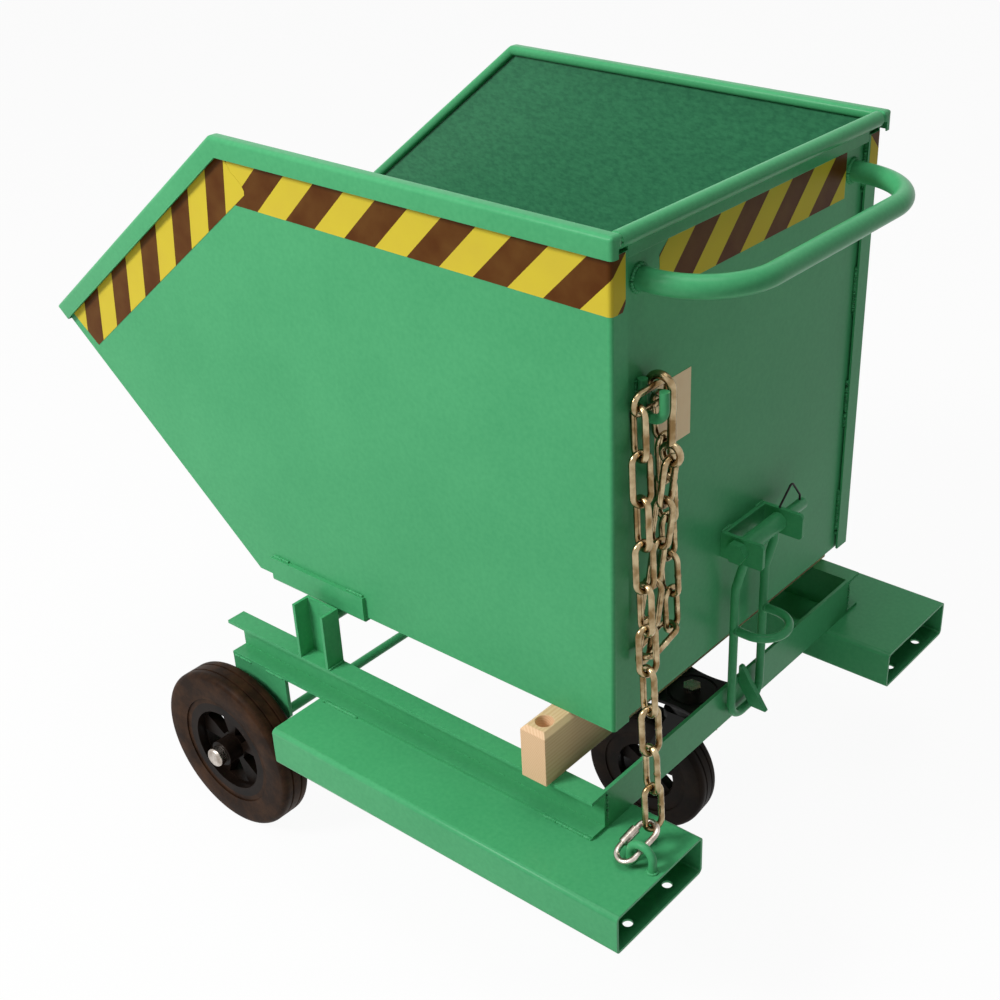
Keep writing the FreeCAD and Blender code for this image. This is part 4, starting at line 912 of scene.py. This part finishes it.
# %% [markdown]
# ## Weld marks on the chain
# Each link is bent from rod and welded shut in the middle of one leg, which leaves a slight swelling there.
# The links are separate shells of one mesh, so their places can be read from it: the long direction of a
# shell is the link's length, and the middle direction is its width.

# %% Links of the chain
def separate_shells(shape):
    """The corners of each separate shell of a mesh, in millimetres."""
    shells, seen = [], set()
    for first in shape.verts:
        if first in seen:
            continue
        seen.add(first)
        shell, front = [], [first]
        while front:
            vert = front.pop()
            shell.append(vert.co / MM)
            for edge in vert.link_edges:
                beside = edge.other_vert(vert)
                if beside not in seen:
                    seen.add(beside)
                    front.append(beside)
        shells.append(shell)
    return shells


links = bmesh.new()
links.from_mesh(frame["nodes"]["chain_links"].data)
bmesh.ops.remove_doubles(links, verts=links.verts[:], dist=SAME_CORNER * MM)
link_shells = separate_shells(links)
links.free()
print("chain has", len(link_shells), "links")

# %% [markdown]
# ## Swelling on each link
# A short barrel round the leg, a little thicker than the wire in its middle and a little thinner at its ends,
# so that it rises out of the wire without a step.

# %% Chain weld marks
WIRE_RADIUS = 4.0
MARK_SIDES = 12
MARK_HALF = 3.2
MARK_RINGS = ((-1.0, 3.95), (-0.5, 4.3), (0.0, 4.5), (0.5, 4.3), (1.0, 3.95))
mark_points, mark_faces = [], []
for shell in link_shells:
    cloud = numpy.array(shell)
    middle = (cloud.max(axis=0) + cloud.min(axis=0)) / 2
    ways = numpy.linalg.eigh(numpy.cov((cloud - middle).T))[1]
    along, across = Vector(ways[:, 2]), Vector(ways[:, 1])
    around = along.cross(across)
    leg = Vector(middle) + across * (max((cloud - middle) @ ways[:, 1]) - WIRE_RADIUS)
    first = len(mark_points)
    for place, radius in MARK_RINGS:
        for side in range(MARK_SIDES):
            angle = 2 * math.pi * side / MARK_SIDES
            out = across * math.cos(angle) + around * math.sin(angle)
            mark_points.append(leg + along * place * MARK_HALF + out * radius)
    for step in range(len(MARK_RINGS) - 1):
        low = first + step * MARK_SIDES
        high = low + MARK_SIDES
        for side in range(MARK_SIDES):
            beside = (side + 1) % MARK_SIDES
            mark_faces.append((low + side, low + beside, high + beside, high + side))
marks = new_piece("chain_weld_marks", mark_points, mark_faces, yellow_zinc, "skip", smooth=True)
print("chain weld marks", len(link_shells))

# %% [markdown]
# ## Floor
# A white floor could be lit until it clips, but that would wash out the piece too. Instead the floor glows
# for the rays that see it directly or in a mirror, and is plain white paint for the rays that carry light. A
# small share stays real, so that it keeps the shadow.

# %% Studio floor
FLOOR_SIZE = 30.0
WHITE_SHARE = 0.95
reach = FLOOR_SIZE / 2
studio_corners = [(-reach, -reach, 0.0), (reach, -reach, 0.0), (reach, reach, 0.0), (-reach, reach, 0.0)]
floor_mesh = bpy.data.meshes.new("studio_floor")
floor_mesh.from_pydata(studio_corners, [], [(0, 1, 2, 3)])
floor = bpy.data.objects.new("studio_floor", floor_mesh)
bpy.context.scene.collection.objects.link(floor)


def seen_directly(tree):
    """One for a ray from the camera, a mirror or a glass, and zero for a ray that carries light."""
    path = add(tree, "LightPath")
    mirrored = add(tree, "Math", {
        0: path.outputs["Is Glossy Ray"], 1: path.outputs["Is Transmission Ray"]}, operation="MAXIMUM")
    seen = add(tree, "Math", {0: path.outputs["Is Camera Ray"], 1: mirrored.outputs[0]}, operation="MAXIMUM")
    return seen.outputs[0]


floor_finish, floor_tree, floor_shader = new_finish("white_studio_floor")[:3]
floor_shader.inputs["Base Color"].default_value = linear("#f4f4f2")
floor_shader.inputs["Roughness"].default_value = 0.9
glow = add(floor_tree, "Emission", {"Strength": 1.0})
share = add(floor_tree, "Math", {0: seen_directly(floor_tree), 1: WHITE_SHARE}, operation="MULTIPLY")
floor_mix = add(floor_tree, "MixShader", {
    0: share.outputs[0], 1: floor_shader.outputs[0], 2: glow.outputs[0]})
floor_output = next(node for node in floor_tree.nodes if node.type == "OUTPUT_MATERIAL")
floor_tree.links.new(floor_mix.outputs[0], floor_output.inputs["Surface"])
floor_mesh.materials.append(floor_finish)
print("floor", FLOOR_SIZE, "m wide")

# %% [markdown]
# ## Light
# The key lamp stands on the chute's side and high, so the skip's side is bright and its back is in shade. A
# wide lamp overhead softens the shade, and the room gives a weak, even fill. As with the floor, the room is
# white for the rays that see it, and the fill is only for the rays that carry light.

# %% Lamps and room
FILL = 0.08
world = bpy.data.worlds.new("studio")
world.use_nodes = True
sky = world.node_tree.nodes["Background"]
sky.inputs["Color"].default_value = linear("#ffffff")
sky_strength = add(world.node_tree, "MapRange", {
    "Value": seen_directly(world.node_tree), "To Min": FILL, "To Max": 1.0})
world.node_tree.links.new(sky_strength.outputs[0], sky.inputs["Strength"])
bpy.context.scene.world = world


def soft_lamp(name, place, size, power):
    """A square lamp, in metres and watts, aimed at the middle of the object."""
    data = bpy.data.lights.new(name, "AREA")
    data.shape = "SQUARE"
    data.size = size
    data.energy = power
    lamp = bpy.data.objects.new(name, data)
    lamp.location = place
    aim = (cad_low + cad_high) / 2 - Vector(place)
    lamp.rotation_euler = aim.to_track_quat("-Z", "Y").to_euler()
    bpy.context.scene.collection.objects.link(lamp)


soft_lamp("key_lamp", place=(-1.35, -3.5, 3.6), size=1.4, power=175.0)
soft_lamp("top_lamp", place=(0.4, -0.3, 4.4), size=2.2, power=62.0)
print("stage and lamps ready")

# %% [markdown]
# ## View transform
# Colours are shown as written, with no film curve over them.

# %% View transform
bpy.context.scene.view_settings.view_transform = "Standard"
